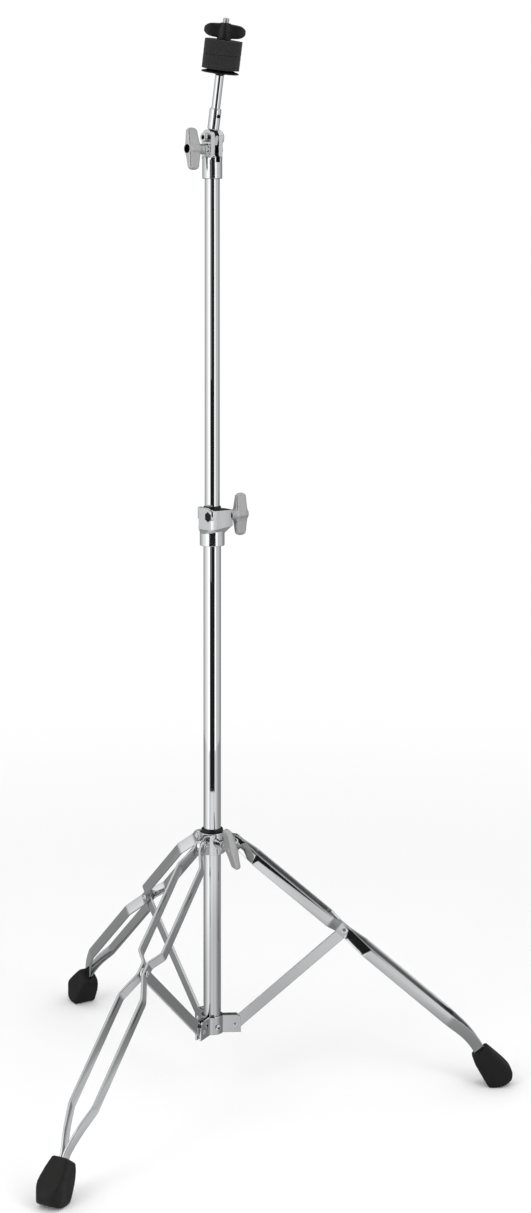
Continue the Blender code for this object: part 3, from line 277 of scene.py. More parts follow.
class StandSizes(bpy.types.PropertyGroup):
    """Sizes of the stand's visible pieces."""

    base_tube: length("Base tube", "Outer diameter of the base tube", 0.0222)
    upper_tube: length("Upper tube", "Outer diameter of the upper tube", 0.01905)
    tube_wall: length("Tube wall", "Wall thickness of both tubes", 0.0012)
    strip_width: length("Strip width", "Width of a leg strip", 0.014)
    strip_thickness: length("Strip thickness", "Thickness of a leg strip", 0.003)
    strip_corner: length("Strip corner", "Radius along the edges of the strips and braces", 0.0008)
    bow: length("Bow", "Half the distance between a leg's two strips where they stand apart", 0.01575)
    brace_width: length("Brace width", "Width of a brace", 0.014)
    rivet_head: length("Rivet head", "Diameter of a rivet's head", 0.008)
    rivet_height: length("Rivet height", "Height of a rivet's head", 0.0016)
    plate: length("Bracket plate", "Thickness of the stamped bracket plates", 0.0026)
    screw_head: length("Screw head", "Diameter of the bracket's screw heads", 0.0075)
    screw_height: length("Screw height", "Height of the bracket's screw heads", 0.002)
    liner_flange: length("Liner flange", "Radius of the nylon liner's flange", 0.01385)
    liner_height: length("Liner height", "Height of the nylon liner's flange", 0.004)
    foot_neck: length("Foot neck", "Width of a rubber foot where the leg enters", 0.0195)
    foot_width: length("Foot width", "Width of a rubber foot at its toe", 0.0318)
    foot_rib: length("Foot rib", "Depth of the grooves in a foot's sole", 0.0015)
    wing_span: length("Wing span", "Span of the metal wing nuts", 0.0535)
    top_wing_span: length("Top wing span", "Span of the plastic wing nut", 0.0525)
    seat_radius: length("Seat radius", "Radius of the cymbal seat", 0.024)
    felt_radius: length("Felt radius", "Radius of a felt", 0.0241)
    felt_height: length("Felt height", "Height of a felt", 0.0183)
    casting_voxel: length("Casting detail", "Finest detail of the castings", 0.0004)
    thread_pitch: length("Thread pitch", "Pitch of the thread on the cymbal rod", 0.00125)
    sole_ribs: IntProperty(name="Sole ribs", description="Number of ribs on a sole", default=8, min=4, max=12)


class StandColours(bpy.types.PropertyGroup):
    """Colours of the stand's finishes."""

    chrome: colour("Chrome", "Chrome plating on tubes and castings", "#CDCFD0")
    strip: colour("Strip chrome", "Thinner chrome plating on the leg strips and braces", "#C3C5C6")
    satin: colour("Satin chrome", "Chrome over a blasted casting", "#BDBEBD")
    rubber: colour("Rubber", "Moulded rubber of the feet", "#111111")
    rubber_bloom: colour("Rubber bloom", "Paler film on the rubber", "#1A1A19")
    plastic: colour("Plastic", "Moulded plastic of the seat and the top nut", "#121213")
    nylon: colour("Nylon", "Nylon of the liner and the bushing", "#0B0B0B")
    # This colour is also painted as shade into the slots and recesses of chrome pieces.
    steel: colour("Blackened steel", "Oxide-blackened steel of the clamp's bolt", "#0A0A0A")
    felt: colour("Felt", "Pressed wool felt", "#1F1F20")
    felt_fibre: colour("Felt fibre", "Paler fibres in the felt", "#303031")
    floor: colour("Floor", "Studio floor", "#FBFBFB")


# Node materials


def per_metre(millimetres):
    """Texture scale that gives features of a real size, in object coordinates in metres."""
    return 1000.0 / millimetres


def node(tree, kind, place, values=None, links=None, **settings):
    """Adds one node with its settings, input values and links."""
    made = tree.nodes.new(kind)
    made.location = place
    for name, value in settings.items():
        setattr(made, name, value)
    for name, value in (values or {}).items():
        made.inputs[name].default_value = value
    for name, source in (links or {}).items():
        tree.links.new(source, made.inputs[name])
    return made


def blank(name):
    """A material with no nodes yet."""
    made = bpy.data.materials.new(name)
    made.use_nodes = True
    made.node_tree.nodes.clear()
    return made


def chrome_on_tube(colours):
    """Bright chrome on drawn steel tube: a near mirror whose wipe marks only just soften the reflections."""
    made = blank("chrome_on_tube")
    tree = made.node_tree
    coords = node(tree, "ShaderNodeTexCoord", (-1000, 0))
    wipes = node(tree, "ShaderNodeTexNoise", (-800, 100), {"Scale": per_metre(24), "Detail": 5.0},
                 {"Vector": coords.outputs["Object"]})
    roughness = node(tree, "ShaderNodeMapRange", (-600, 100),
                     {"From Min": 0.35, "From Max": 0.7, "To Min": 0.02, "To Max": 0.05},
                     {"Value": wipes.outputs["Fac"]})
    draw = node(tree, "ShaderNodeTexNoise", (-800, -200), {"Scale": per_metre(9), "Detail": 1.0},
                {"Vector": coords.outputs["Object"]})
    bump = node(tree, "ShaderNodeBump", (-400, -200), {"Strength": 0.05, "Distance": 0.00001},
                {"Height": draw.outputs["Fac"]})
    shader = node(tree, "ShaderNodeBsdfPrincipled", (-150, 0),
                  {"Base Color": (*colours.chrome, 1.0), "Metallic": 1.0},
                  {"Roughness": roughness.outputs["Result"], "Normal": bump.outputs["Normal"]})
    node(tree, "ShaderNodeOutputMaterial", (150, 0), links={"Surface": shader.outputs["BSDF"]})
    return made


def chrome_on_strip(colours):
    """Bright chrome on rolled flat steel: a mirror with the faint long waves that rolling and bending leave."""
    made = blank("chrome_on_strip")
    tree = made.node_tree
    coords = node(tree, "ShaderNodeTexCoord", (-1000, 0))
    smears = node(tree, "ShaderNodeTexNoise", (-800, 100), {"Scale": per_metre(14), "Detail": 6.0},
                  {"Vector": coords.outputs["Object"]})
    roughness = node(tree, "ShaderNodeMapRange", (-600, 100),
                     {"From Min": 0.3, "From Max": 0.7, "To Min": 0.04, "To Max": 0.09},
                     {"Value": smears.outputs["Fac"]})
    waves = node(tree, "ShaderNodeTexNoise", (-800, -200), {"Scale": per_metre(11), "Detail": 2.0},
                 {"Vector": coords.outputs["Object"]})
    bump = node(tree, "ShaderNodeBump", (-400, -200), {"Strength": 0.12, "Distance": 0.00002},
                {"Height": waves.outputs["Fac"]})
    shader = node(tree, "ShaderNodeBsdfPrincipled", (-150, 0),
                  {"Base Color": (*colours.strip, 1.0), "Metallic": 1.0},
                  {"Roughness": roughness.outputs["Result"], "Normal": bump.outputs["Normal"]})
    node(tree, "ShaderNodeOutputMaterial", (150, 0), links={"Surface": shader.outputs["BSDF"]})
    return made


def chrome_on_casting(colours):
    """Bright chrome on a polished zinc die casting: soft dents of hand polishing under a mirror coat."""
    made = blank("chrome_on_casting")
    tree = made.node_tree
    coords = node(tree, "ShaderNodeTexCoord", (-1000, 0))
    haze = node(tree, "ShaderNodeTexNoise", (-800, 100), {"Scale": per_metre(5), "Detail": 4.0},
                {"Vector": coords.outputs["Object"]})
    roughness = node(tree, "ShaderNodeMapRange", (-600, 100),
                     {"From Min": 0.3, "From Max": 0.7, "To Min": 0.1, "To Max": 0.18},
                     {"Value": haze.outputs["Fac"]})
    dents = node(tree, "ShaderNodeTexNoise", (-800, -200), {"Scale": per_metre(5), "Detail": 2.0},
                 {"Vector": coords.outputs["Object"]})
    bump = node(tree, "ShaderNodeBump", (-400, -200), {"Strength": 0.35, "Distance": 0.00006},
                {"Height": dents.outputs["Fac"]})
    shader = node(tree, "ShaderNodeBsdfPrincipled", (-150, 0),
                  {"Base Color": (*colours.chrome, 1.0), "Metallic": 1.0},
                  {"Roughness": roughness.outputs["Result"], "Normal": bump.outputs["Normal"]})
    node(tree, "ShaderNodeOutputMaterial", (150, 0), links={"Surface": shader.outputs["BSDF"]})
    return made


def satin_chrome(colours):
    """Chrome on a bead-blasted casting: a pearly satin with a fine grain, drawn at 0.5 mm so that it shows."""
    made = blank("satin_chrome")
    tree = made.node_tree
    coords = node(tree, "ShaderNodeTexCoord", (-1200, 0))
    clouds = node(tree, "ShaderNodeTexNoise", (-1000, 150), {"Scale": per_metre(6), "Detail": 4.0},
                  {"Vector": coords.outputs["Object"]})
    roughness = node(tree, "ShaderNodeMapRange", (-700, 150),
                     {"From Min": 0.3, "From Max": 0.7, "To Min": 0.42, "To Max": 0.54},
                     {"Value": clouds.outputs["Fac"]})
    grain = node(tree, "ShaderNodeTexNoise", (-1000, -200), {"Scale": per_metre(0.5), "Detail": 3.0},
                 {"Vector": coords.outputs["Object"]})
    bump = node(tree, "ShaderNodeBump", (-400, -200), {"Strength": 0.35, "Distance": 0.00005},
                {"Height": grain.outputs["Fac"]})
    shader = node(tree, "ShaderNodeBsdfPrincipled", (-150, 0),
                  {"Base Color": (*colours.satin, 1.0), "Metallic": 1.0},
                  {"Roughness": roughness.outputs["Result"], "Normal": bump.outputs["Normal"]})
    node(tree, "ShaderNodeOutputMaterial", (150, 0), links={"Surface": shader.outputs["BSDF"]})
    return made


def moulded_rubber(colours):
    """Black moulded rubber: matt, with a paler bloom and the fine grain of an eroded mould."""
    made = blank("moulded_rubber")
    tree = made.node_tree
    coords = node(tree, "ShaderNodeTexCoord", (-1200, 0))
    bloom = node(tree, "ShaderNodeTexNoise", (-1000, 200), {"Scale": per_metre(11), "Detail": 6.0},
                 {"Vector": coords.outputs["Object"]})
    tint = node(tree, "ShaderNodeMix", (-700, 200),
                {6: (*colours.rubber, 1.0), 7: (*colours.rubber_bloom, 1.0)}, {0: bloom.outputs["Fac"]},
                data_type="RGBA")
    roughness = node(tree, "ShaderNodeMapRange", (-700, 0),
                     {"From Min": 0.3, "From Max": 0.7, "To Min": 0.55, "To Max": 0.72},
                     {"Value": bloom.outputs["Fac"]})
    grain = node(tree, "ShaderNodeTexNoise", (-1000, -200), {"Scale": per_metre(0.6), "Detail": 3.0},
                 {"Vector": coords.outputs["Object"]})
    bump = node(tree, "ShaderNodeBump", (-400, -200), {"Strength": 0.4, "Distance": 0.00006},
                {"Height": grain.outputs["Fac"]})
    shader = node(tree, "ShaderNodeBsdfPrincipled", (-150, 0), {"IOR": 1.52, "Specular IOR Level": 0.2},
                  {"Base Color": tint.outputs[2], "Roughness": roughness.outputs["Result"],
                   "Normal": bump.outputs["Normal"]})
    node(tree, "ShaderNodeOutputMaterial", (150, 0), links={"Surface": shader.outputs["BSDF"]})
    return made


def moulded_plastic(colours):
    """Black moulded polyamide: half matt, with a light mould grain that breaks up its highlights."""
    made = blank("moulded_plastic")
    tree = made.node_tree
    coords = node(tree, "ShaderNodeTexCoord", (-1200, 0))
    wear = node(tree, "ShaderNodeTexNoise", (-1000, 150), {"Scale": per_metre(8), "Detail": 5.0},
                {"Vector": coords.outputs["Object"]})
    roughness = node(tree, "ShaderNodeMapRange", (-700, 150),
                     {"From Min": 0.3, "From Max": 0.7, "To Min": 0.38, "To Max": 0.52},
                     {"Value": wear.outputs["Fac"]})
    grain = node(tree, "ShaderNodeTexVoronoi", (-1000, -200), {"Scale": per_metre(0.7)},
                 {"Vector": coords.outputs["Object"]})
    bump = node(tree, "ShaderNodeBump", (-400, -200), {"Strength": 0.3, "Distance": 0.00006},
                {"Height": grain.outputs["Distance"]})
    shader = node(tree, "ShaderNodeBsdfPrincipled", (-150, 0),
                  {"Base Color": (*colours.plastic, 1.0), "IOR": 1.53, "Specular IOR Level": 0.25},
                  {"Roughness": roughness.outputs["Result"], "Normal": bump.outputs["Normal"]})
    node(tree, "ShaderNodeOutputMaterial", (150, 0), links={"Surface": shader.outputs["BSDF"]})
    return made


def turned_nylon(colours):
    """Black nylon: smooth and waxy, with a soft broad highlight."""
    made = blank("turned_nylon")
    tree = made.node_tree
    coords = node(tree, "ShaderNodeTexCoord", (-1200, 0))
    wax = node(tree, "ShaderNodeTexNoise", (-1000, 150), {"Scale": per_metre(4), "Detail": 4.0},
               {"Vector": coords.outputs["Object"]})
    roughness = node(tree, "ShaderNodeMapRange", (-700, 150),
                     {"From Min": 0.3, "From Max": 0.7, "To Min": 0.3, "To Max": 0.42},
                     {"Value": wax.outputs["Fac"]})
    bump = node(tree, "ShaderNodeBump", (-400, -200), {"Strength": 0.15, "Distance": 0.00005},
                {"Height": wax.outputs["Fac"]})
    shader = node(tree, "ShaderNodeBsdfPrincipled", (-150, 0),
                  {"Base Color": (*colours.nylon, 1.0), "IOR": 1.53, "Specular IOR Level": 0.25},
                  {"Roughness": roughness.outputs["Result"], "Normal": bump.outputs["Normal"]})
    node(tree, "ShaderNodeOutputMaterial", (150, 0), links={"Surface": shader.outputs["BSDF"]})
    return made


def blackened_steel_and_painted_shade(colours):
    """Oxide-blackened steel: nearly black, with an oily film that only just shines. The same material is laid on as
    painted shade in the slots and recesses of chrome pieces.
    """
    made = blank("blackened_steel_and_painted_shade")
    tree = made.node_tree
    coords = node(tree, "ShaderNodeTexCoord", (-1200, 0))
    film = node(tree, "ShaderNodeTexNoise", (-1000, 150), {"Scale": per_metre(3), "Detail": 4.0},
                {"Vector": coords.outputs["Object"]})
    roughness = node(tree, "ShaderNodeMapRange", (-700, 150),
                     {"From Min": 0.3, "From Max": 0.7, "To Min": 0.35, "To Max": 0.5},
                     {"Value": film.outputs["Fac"]})
    shader = node(tree, "ShaderNodeBsdfPrincipled", (-150, 0),
                  {"Base Color": (*colours.steel, 1.0), "Specular IOR Level": 0.15},
                  {"Roughness": roughness.outputs["Result"]})
    node(tree, "ShaderNodeOutputMaterial", (150, 0), links={"Surface": shader.outputs["BSDF"]})
    return made


def pressed_felt(colours):
    """Black pressed wool felt: no gloss, matted fibres about 1 mm long and a faint fuzz towards its edges."""
    made = blank("pressed_felt")
    tree = made.node_tree
    coords = node(tree, "ShaderNodeTexCoord", (-1400, 0))
    mat = node(tree, "ShaderNodeTexNoise", (-1200, 250),
               {"Scale": per_metre(1.2), "Detail": 8.0, "Distortion": 1.2},
               {"Vector": coords.outputs["Object"]})
    contrast = node(tree, "ShaderNodeMapRange", (-900, 250), {"From Min": 0.4, "From Max": 0.68},
                    {"Value": mat.outputs["Fac"]})
    tint = node(tree, "ShaderNodeMix", (-650, 250),
                {6: (*colours.felt, 1.0), 7: (*colours.felt_fibre, 1.0)}, {0: contrast.outputs["Result"]},
                data_type="RGBA")
    tufts = node(tree, "ShaderNodeTexVoronoi", (-1200, -250), {"Scale": per_metre(1.8)},
                 {"Vector": coords.outputs["Object"]})
    height = node(tree, "ShaderNodeMath", (-900, -200),
                  links={0: mat.outputs["Fac"], 1: tufts.outputs["Distance"]}, operation="ADD")
    bump = node(tree, "ShaderNodeBump", (-400, -200), {"Strength": 0.6, "Distance": 0.0003},
                {"Height": height.outputs["Value"]})
    shader = node(tree, "ShaderNodeBsdfPrincipled", (-150, 0),
                  {"Roughness": 0.95, "IOR": 1.45, "Specular IOR Level": 0.1, "Sheen Weight": 0.06,
                   "Sheen Roughness": 0.5},
                  {"Base Color": tint.outputs[2], "Normal": bump.outputs["Normal"]})
    node(tree, "ShaderNodeOutputMaterial", (150, 0), links={"Surface": shader.outputs["BSDF"]})
    return made


FINISHES = {
    "tube": (chrome_on_tube, "polished_chrome"),
    "strip": (chrome_on_strip, "polished_chrome"),
    "casting": (chrome_on_casting, "cast_chrome"),
    "satin": (satin_chrome, "blasted_chrome"),
    "rubber": (moulded_rubber, "black_rubber"),
    "plastic": (moulded_plastic, "black_plastic"),
    "nylon": (turned_nylon, "black_nylon"),
    # Also the painted shade in the slots and recesses of chrome pieces.
    "steel": (blackened_steel_and_painted_shade, None),
    "felt": (pressed_felt, "black_felt"),
}


def finish_of(context, kind):
    """The material of a finish, made when it is first asked for."""
    make = FINISHES[kind][0]
    return bpy.data.materials.get(make.__name__) or make(context.scene.stand_colours)


# Modelling helpers


def pick(obj):
    """Makes an object the only selected one, and the active one."""
    bpy.ops.object.select_all(action="DESELECT")
    obj.select_set(True)
    bpy.context.view_layer.objects.active = obj
    return obj


def edit(obj):
    pick(obj)
    bpy.ops.object.mode_set(mode="EDIT")


def leave():
    bpy.ops.object.mode_set(mode="OBJECT")


def modify(obj, kind, **settings):
    """Adds a modifier with its settings and applies it."""
    pick(obj)
    bpy.ops.object.modifier_add(type=kind)
    modifier = obj.modifiers[-1]
    for name, value in settings.items():
        setattr(modifier, name, value)
    bpy.ops.object.modifier_apply(modifier=modifier.name)


def named(obj, name):
    obj.name = name
    obj.data.name = name
    return obj


def placed(obj, matrix):
    """Moves an object's mesh to a place, and leaves the object at the origin."""
    obj.matrix_world = matrix
    pick(obj)
    bpy.ops.object.transform_apply(location=True, rotation=True, scale=True)
    return obj


def copied(obj, name):
    """A copy with its own mesh."""
    pick(obj)
    bpy.ops.object.duplicate(linked=False)
    return named(bpy.context.active_object, name)


def removed(obj):
    pick(obj)
    bpy.ops.object.delete()


def outward(obj):
    """Points all faces of a closed shape outwards."""
    edit(obj)
    bpy.ops.mesh.select_all(action="SELECT")
    bpy.ops.mesh.remove_doubles(threshold=1e-6)
    bpy.ops.mesh.normals_make_consistent(inside=False)
    leave()
    return obj


def mirrored(obj, name, axis):
    """A mirrored copy, with its faces turned outwards again."""
    made = copied(obj, name)
    made.scale[axis] = -1.0
    placed(made, made.matrix_basis.copy())
    return outward(made)


def select_edges(obj, test):
    """In edit mode, selects the edges whose two ends pass a test."""
    bpy.ops.mesh.select_mode(type="EDGE")
    bpy.ops.mesh.select_all(action="DESELECT")
    shape = bmesh.from_edit_mesh(obj.data)
    for edge in shape.edges:
        edge.select = all(test(vert.co) for vert in edge.verts)
    shape.select_flush_mode()
    bmesh.update_edit_mesh(obj.data)


def select_points(obj, test):
    """In edit mode, selects the points that pass a test, with all between them."""
    bpy.ops.mesh.select_mode(type="VERT")
    bpy.ops.mesh.select_all(action="DESELECT")
    shape = bmesh.from_edit_mesh(obj.data)
    for vert in shape.verts:
        vert.select = test(vert.co)
    shape.select_flush_mode()
    bmesh.update_edit_mesh(obj.data)


def rotate(degrees, axis, centre):
    """Turns what is selected. With no window the operator turns the other way, so the sign changes."""
    bpy.ops.transform.rotate(value=-math.radians(degrees), orient_axis=axis, center_override=centre)


def chain(name, points):
    """Draws a chain of edges by extruding one point, and stays in edit mode."""
    bpy.ops.object.select_all(action="DESELECT")
    bpy.ops.mesh.primitive_plane_add(size=0.001, location=(0, 0, 0))
    made = named(bpy.context.active_object, name)
    bpy.ops.object.mode_set(mode="EDIT")
    bpy.ops.mesh.select_mode(type="VERT")
    bpy.ops.mesh.merge(type="CENTER")
    bpy.ops.transform.translate(value=points[0])
    for before, after in zip(points, points[1:]):
        step = Vector(after) - Vector(before)
        bpy.ops.mesh.extrude_region_move(TRANSFORM_OT_translate={"value": step})
    return made


def lathe(name, profile, sides=64, closed=False):
    """Spins a profile of (radius, height) points round Z."""
    ends = [profile[0]] if closed else []
    made = chain(name, [(radius, 0, height) for radius, height in profile + ends])
    bpy.ops.mesh.select_all(action="SELECT")
    bpy.ops.mesh.spin(steps=sides, angle=math.tau, center=(0, 0, 0), axis=(0, 0, 1))
    leave()
    return outward(made)


def slab(name, outline, bottom, top):
    """Fills an outline in X and Y and extrudes it along Z."""
    made = chain(name, [(x, y, bottom) for x, y in outline])
    bpy.ops.mesh.select_all(action="SELECT")
    bpy.ops.mesh.edge_face_add()
    bpy.ops.mesh.extrude_region_move(TRANSFORM_OT_translate={"value": (0, 0, top - bottom)})
    leave()
    return outward(made)


def bar(name, radius, bottom, top, sides=48):
    """A round bar along Z."""
    return lathe(name, [(0, bottom), (radius, bottom), (radius, top), (0, top)], sides)


def combined(target, helper, operation):
    """Adds, cuts or crosses a helper shape, which is used up."""
    modify(target, "BOOLEAN", object=helper, operation=operation, solver="EXACT")
    removed(helper)
    modify(target, "WELD", merge_threshold=1e-5)
    return target


def joined(target, helper):
    return combined(target, helper, "UNION")


def cut(target, helper):
    return combined(target, helper, "DIFFERENCE")


def cast(obj, voxel, rounds):
    """Runs the corners together as a casting does: a fine even mesh, then smoothing."""
    modify(obj, "REMESH", mode="VOXEL", voxel_size=voxel, use_smooth_shade=True)
    modify(obj, "SMOOTH", factor=0.5, iterations=rounds)
    pick(obj)
    bpy.ops.object.shade_smooth()
    return obj


def softened(obj, width, segments=3, angle=35.0):
    """Rounds the sharp edges and shades the flats flat."""
    modify(obj, "BEVEL", width=width, segments=segments, limit_method="ANGLE",
           angle_limit=math.radians(angle), use_clamp_overlap=True)
    pick(obj)
    bpy.ops.object.shade_smooth()
    modify(obj, "WEIGHTED_NORMAL", keep_sharp=False, weight=50)
    return obj


def smooth(obj, angle=35.0):
    pick(obj)
    bpy.ops.object.shade_smooth_by_angle(angle=math.radians(angle))
    return obj


def dressed(context, obj, body, node_name, kind):
    """Gives a piece its finish, the body that it rides on and the CAD node that it stands for."""
    obj.data.materials.clear()
    obj.data.materials.append(finish_of(context, kind))
    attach(obj, body)
    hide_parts(node_name)
    return obj


def dulled(context, obj, place, test):
    """Paints shade: gives the faces deep in a slot or recess the nearly black steel finish, standing in for the shade
    that falls there. The test is in the piece's frame.
    """
    # The nearly black finish that is painted on here as shade.
    obj.data.materials.append(finish_of(context, "steel"))
    inward = place.inverted()
    edit(obj)
    select_points(obj, lambda point: test(inward @ point))
    obj.active_material_index = len(obj.data.materials) - 1
    bpy.ops.object.material_slot_assign()
    leave()
    return obj


def arc(centre, radius, start, end, steps):
    """Points on an arc, from one angle to another in degrees."""
    angles = [math.radians(start + (end - start) * index / steps) for index in range(steps + 1)]
    return [(centre[0] + radius * math.cos(angle), centre[1] + radius * math.sin(angle)) for angle in angles]


def hexagon(flats):
    return arc((0, 0), flats / math.sqrt(3), 0, 300, 5)


def rounded_ring(inner, outer, bottom, top, lip):
    """Closed profile of a ring with rounded rims."""
    return [(inner, bottom + lip), (inner + lip, bottom), (outer - lip, bottom), (outer - 0.3 * lip, bottom + 0.3 * lip),
            (outer, bottom + lip), (outer, top - lip), (outer - 0.3 * lip, top - 0.3 * lip), (outer - lip, top),
            (inner + lip, top), (inner, top - lip)]


def rivet_pattern(sizes, grip, flatness=1.0):
    """A rivet along Y whose two domed heads close on a stack of plates."""
    head, height = sizes.rivet_head / 2 * flatness, sizes.rivet_height * flatness
    dome = [(head * math.sin(math.radians(angle)), grip + height * (0.25 + 0.75 * math.cos(math.radians(angle))))
            for angle in (24, 30, 45, 60, 75, 90)]
    dimple = [(0, grip + 0.55 * height), (0.2 * head, grip + 0.6 * height), (0.34 * head, grip + 0.92 * height)]
    half = dimple + dome + [(head, grip), (RIVET_RADIUS, grip)]
    profile = [(radius, -height_) for radius, height_ in half] + list(reversed(half))
    return smooth(placed(lathe("rivet_pattern", profile, 40), ALONG_Y))


# Legs


def knees(sizes):
    """Places along a leg where a strip changes its distance from the leg's middle."""
    collar_offset = LUG_THICKNESS / 2 + GAP + sizes.strip_thickness / 2
    mid_offset = sizes.strip_thickness + GAP
    foot_offset = sizes.strip_thickness / 2 + GAP / 2
    return [(UPPER_RAMP[0], collar_offset), (UPPER_RAMP[1], sizes.bow),
            (ARM_LENGTH - MID_RAMP_IN[0], sizes.bow), (ARM_LENGTH - MID_RAMP_IN[1], mid_offset),
            (ARM_LENGTH + MID_RAMP_OUT[0], mid_offset), (ARM_LENGTH + MID_RAMP_OUT[1], sizes.bow),
            (LEG_LENGTH - FOOT_RAMP, sizes.bow), (LEG_LENGTH - BEND_EASE, foot_offset)]


def slope_at(sizes, distance):
    """Slope of a strip against the leg's middle, with rounded knees."""
    places = knees(sizes)
    slopes = [0.0] + [(b[1] - a[1]) / (b[0] - a[0]) for a, b in zip(places, places[1:])] + [0.0]
    slope = 0.0
    for knee, before, after in zip(places, slopes, slopes[1:]):
        share = min(max((distance - knee[0] + BEND_EASE) / (2 * BEND_EASE), 0.0), 1.0)
        slope += (after - before) * share
    return slope


def strip_places(sizes):
    """Stations along a strip, closest together at its bends."""
    found = {0.0, LEG_LENGTH + LEG_TAIL}
    for knee, _ in knees(sizes):
        found.update(knee + BEND_EASE * part / 3 for part in range(-3, 4))
    found.update(LEG_STRAIGHT + LEG_BEND_LENGTH * part / LEG_BEND_STEPS for part in range(LEG_BEND_STEPS + 1))
    places = sorted(found)
    return [place for place, following in zip(places, places[1:] + [1.0]) if following - place > 0.0002]


def strip_pattern(sizes):
    """One flat strip with its bows and its bend, in the leg's frame, on the side of positive Y."""
    half, thick = sizes.strip_width / 2, sizes.strip_thickness
    bpy.ops.object.select_all(action="DESELECT")
    bpy.ops.mesh.primitive_plane_add(size=1.0, rotation=(0, math.radians(90), 0))
    strip = named(bpy.context.active_object, "strip_pattern")
    strip.scale = (2 * half, thick, 1.0)
    bpy.ops.object.transform_apply(location=True, rotation=True, scale=True)
    bpy.ops.object.mode_set(mode="EDIT")
    bpy.ops.mesh.select_all(action="SELECT")
    bpy.ops.mesh.bevel(offset=sizes.strip_corner, segments=3, affect="VERTICES")
    bpy.ops.mesh.select_all(action="SELECT")
    offset = knees(sizes)[0][1]
    nose = [math.radians(angle) for angle in (12, 30, 48, 66, 80)]
    bpy.ops.transform.resize(value=(1, 1, math.sin(nose[0])), center_override=(0, 0, 0))
    bpy.ops.transform.translate(value=(-half * math.cos(nose[0]), offset, 0))
    place = Vector((-half * math.cos(nose[0]), offset, 0))
    for before, after in zip(nose, nose[1:] + [math.pi / 2]):
        step = half * (math.cos(before) - math.cos(after))
        place.x += step
        bpy.ops.mesh.extrude_region_move(TRANSFORM_OT_translate={"value": (step, 0, 0)})
        bpy.ops.transform.resize(value=(1, 1, math.sin(after) / math.sin(before)), center_override=place)
    place.x = 0.0
    stations = strip_places(sizes)
    slope = 0.0
    for before, after in zip(stations, stations[1:]):
        following = slope_at(sizes, after)
        step = Vector((after - before, (after - before) * (slope + following) / 2, 0))
        place += step
        bpy.ops.mesh.extrude_region_move(TRANSFORM_OT_translate={"value": step})
        if abs(following - slope) > 1e-6:
            rotate(math.degrees(math.atan(following) - math.atan(slope)), "Z", place)
        slope = following
    for index in range(LEG_BEND_STEPS, -1, -1):
        start = LEG_STRAIGHT + LEG_BEND_LENGTH * index / LEG_BEND_STEPS
        share = 0.5 if index in (0, LEG_BEND_STEPS) else 1.0
        select_points(strip, lambda point: point.x > start + 0.0008)
        rotate(LEG_BEND_ANGLE / LEG_BEND_STEPS * share, "Y", (start, 0, 0))
    leave()
    return smooth(outward(strip), 40)


def leg_point(distance):
    """Middle of a leg in its own frame."""
    if distance <= LEG_STRAIGHT:
        return Vector((distance, 0, 0))
    bend = math.radians(LEG_BEND_ANGLE)
    radius = LEG_BEND_LENGTH / bend
    turned = min((distance - LEG_STRAIGHT) / radius, bend)
    return Vector((LEG_STRAIGHT + radius * math.sin(turned), 0, radius * (math.cos(turned) - 1)))


def sole_point(angle, reach):
    """A point of the sole as (along, across) in the foot's own frame."""
    lean = math.radians(LEG_ANGLE - LEG_BEND_ANGLE)
    out = SOLE_OUT + reach * math.sin(angle)
    down = min(FOOT_ENTRY + 0.0004 - SOLE_RADIUS + reach * math.cos(angle), FOOT_ENTRY)
    return out * math.sin(lean) + down * math.cos(lean), out * math.cos(lean) - down * math.sin(lean)


def foot_pattern(sizes):
    """A rubber foot with soft corners, the pocket of its strips and grooves across its sole."""
    start, end = math.asin(-SOLE_HEEL / SOLE_RADIUS), math.asin(SOLE_TOE / SOLE_RADIUS)
    sole = [sole_point(start + (end - start) * share / 16, SOLE_RADIUS) for share in range(17)]
    toe = [(FOOT_TOE_AT + 0.008, FOOT_TOE - 0.0012), (FOOT_TOE_AT, FOOT_TOE)]
    back = [(0.0008, FOOT_NECK_HALF)]
    heel = [(0.0028, -FOOT_NECK_HALF), (0.011, -FOOT_HEEL)]
    half_width = sizes.foot_width / 2
    side_view = placed(slab("foot_pattern", sole + toe + back + heel, -half_width, half_width), turn(90, "X"))
    neck = sizes.foot_neck / 2
    grown = [(FOOT_TO_TOE * share, neck + (half_width - neck) * math.sin(share * math.pi / 2))
             for share in (0.0, 0.25, 0.5, 0.75, 1.0)]
    plan = [(-0.01, neck)] + grown + [(0.08, half_width)]
    plan += [(along, -wide) for along, wide in reversed(plan)]
    foot = combined(side_view, slab("foot_plan", plan, -0.06, 0.06), "INTERSECT")
    tip, corner = FOOT_TIP, FOOT_CORNER
    footprint = [(-tip, -half_width)] + arc((tip - corner, corner - half_width), corner, -90, 0, 10) + \
        arc((tip - corner, half_width - corner), corner, 0, 90, 10) + [(-tip, half_width)]
    upright = turn(LEG_ANGLE - LEG_BEND_ANGLE - 90, "Y")
    combined(foot, placed(slab("footprint", footprint, -0.1, 0.1), upright), "INTERSECT")
    cast(foot, 0.00065, 95)
    ribs = sizes.sole_ribs
    for index in range(2, ribs - 1):
        angle = start + (end - start) * (index + 0.775) / (ribs - 0.45)
        along, across = sole_point(angle, SOLE_RADIUS)
        groove = placed(bar("groove", sizes.foot_rib, -half_width * 2, half_width * 2, 16),
                        shift(along, 0, across) @ ALONG_Y)
        cut(foot, groove)
    wide = sizes.strip_thickness + GAP * 1.5
    tall = sizes.strip_width / 2 + GAP
    pocket = slab("pocket", [(-wide, -tall), (wide, -tall), (wide, tall), (-wide, tall)], -0.01, LEG_TAIL + GAP)
    cut(foot, placed(pocket, ALONG_X @ turn(90, "Z")))
    return smooth(foot, 50)


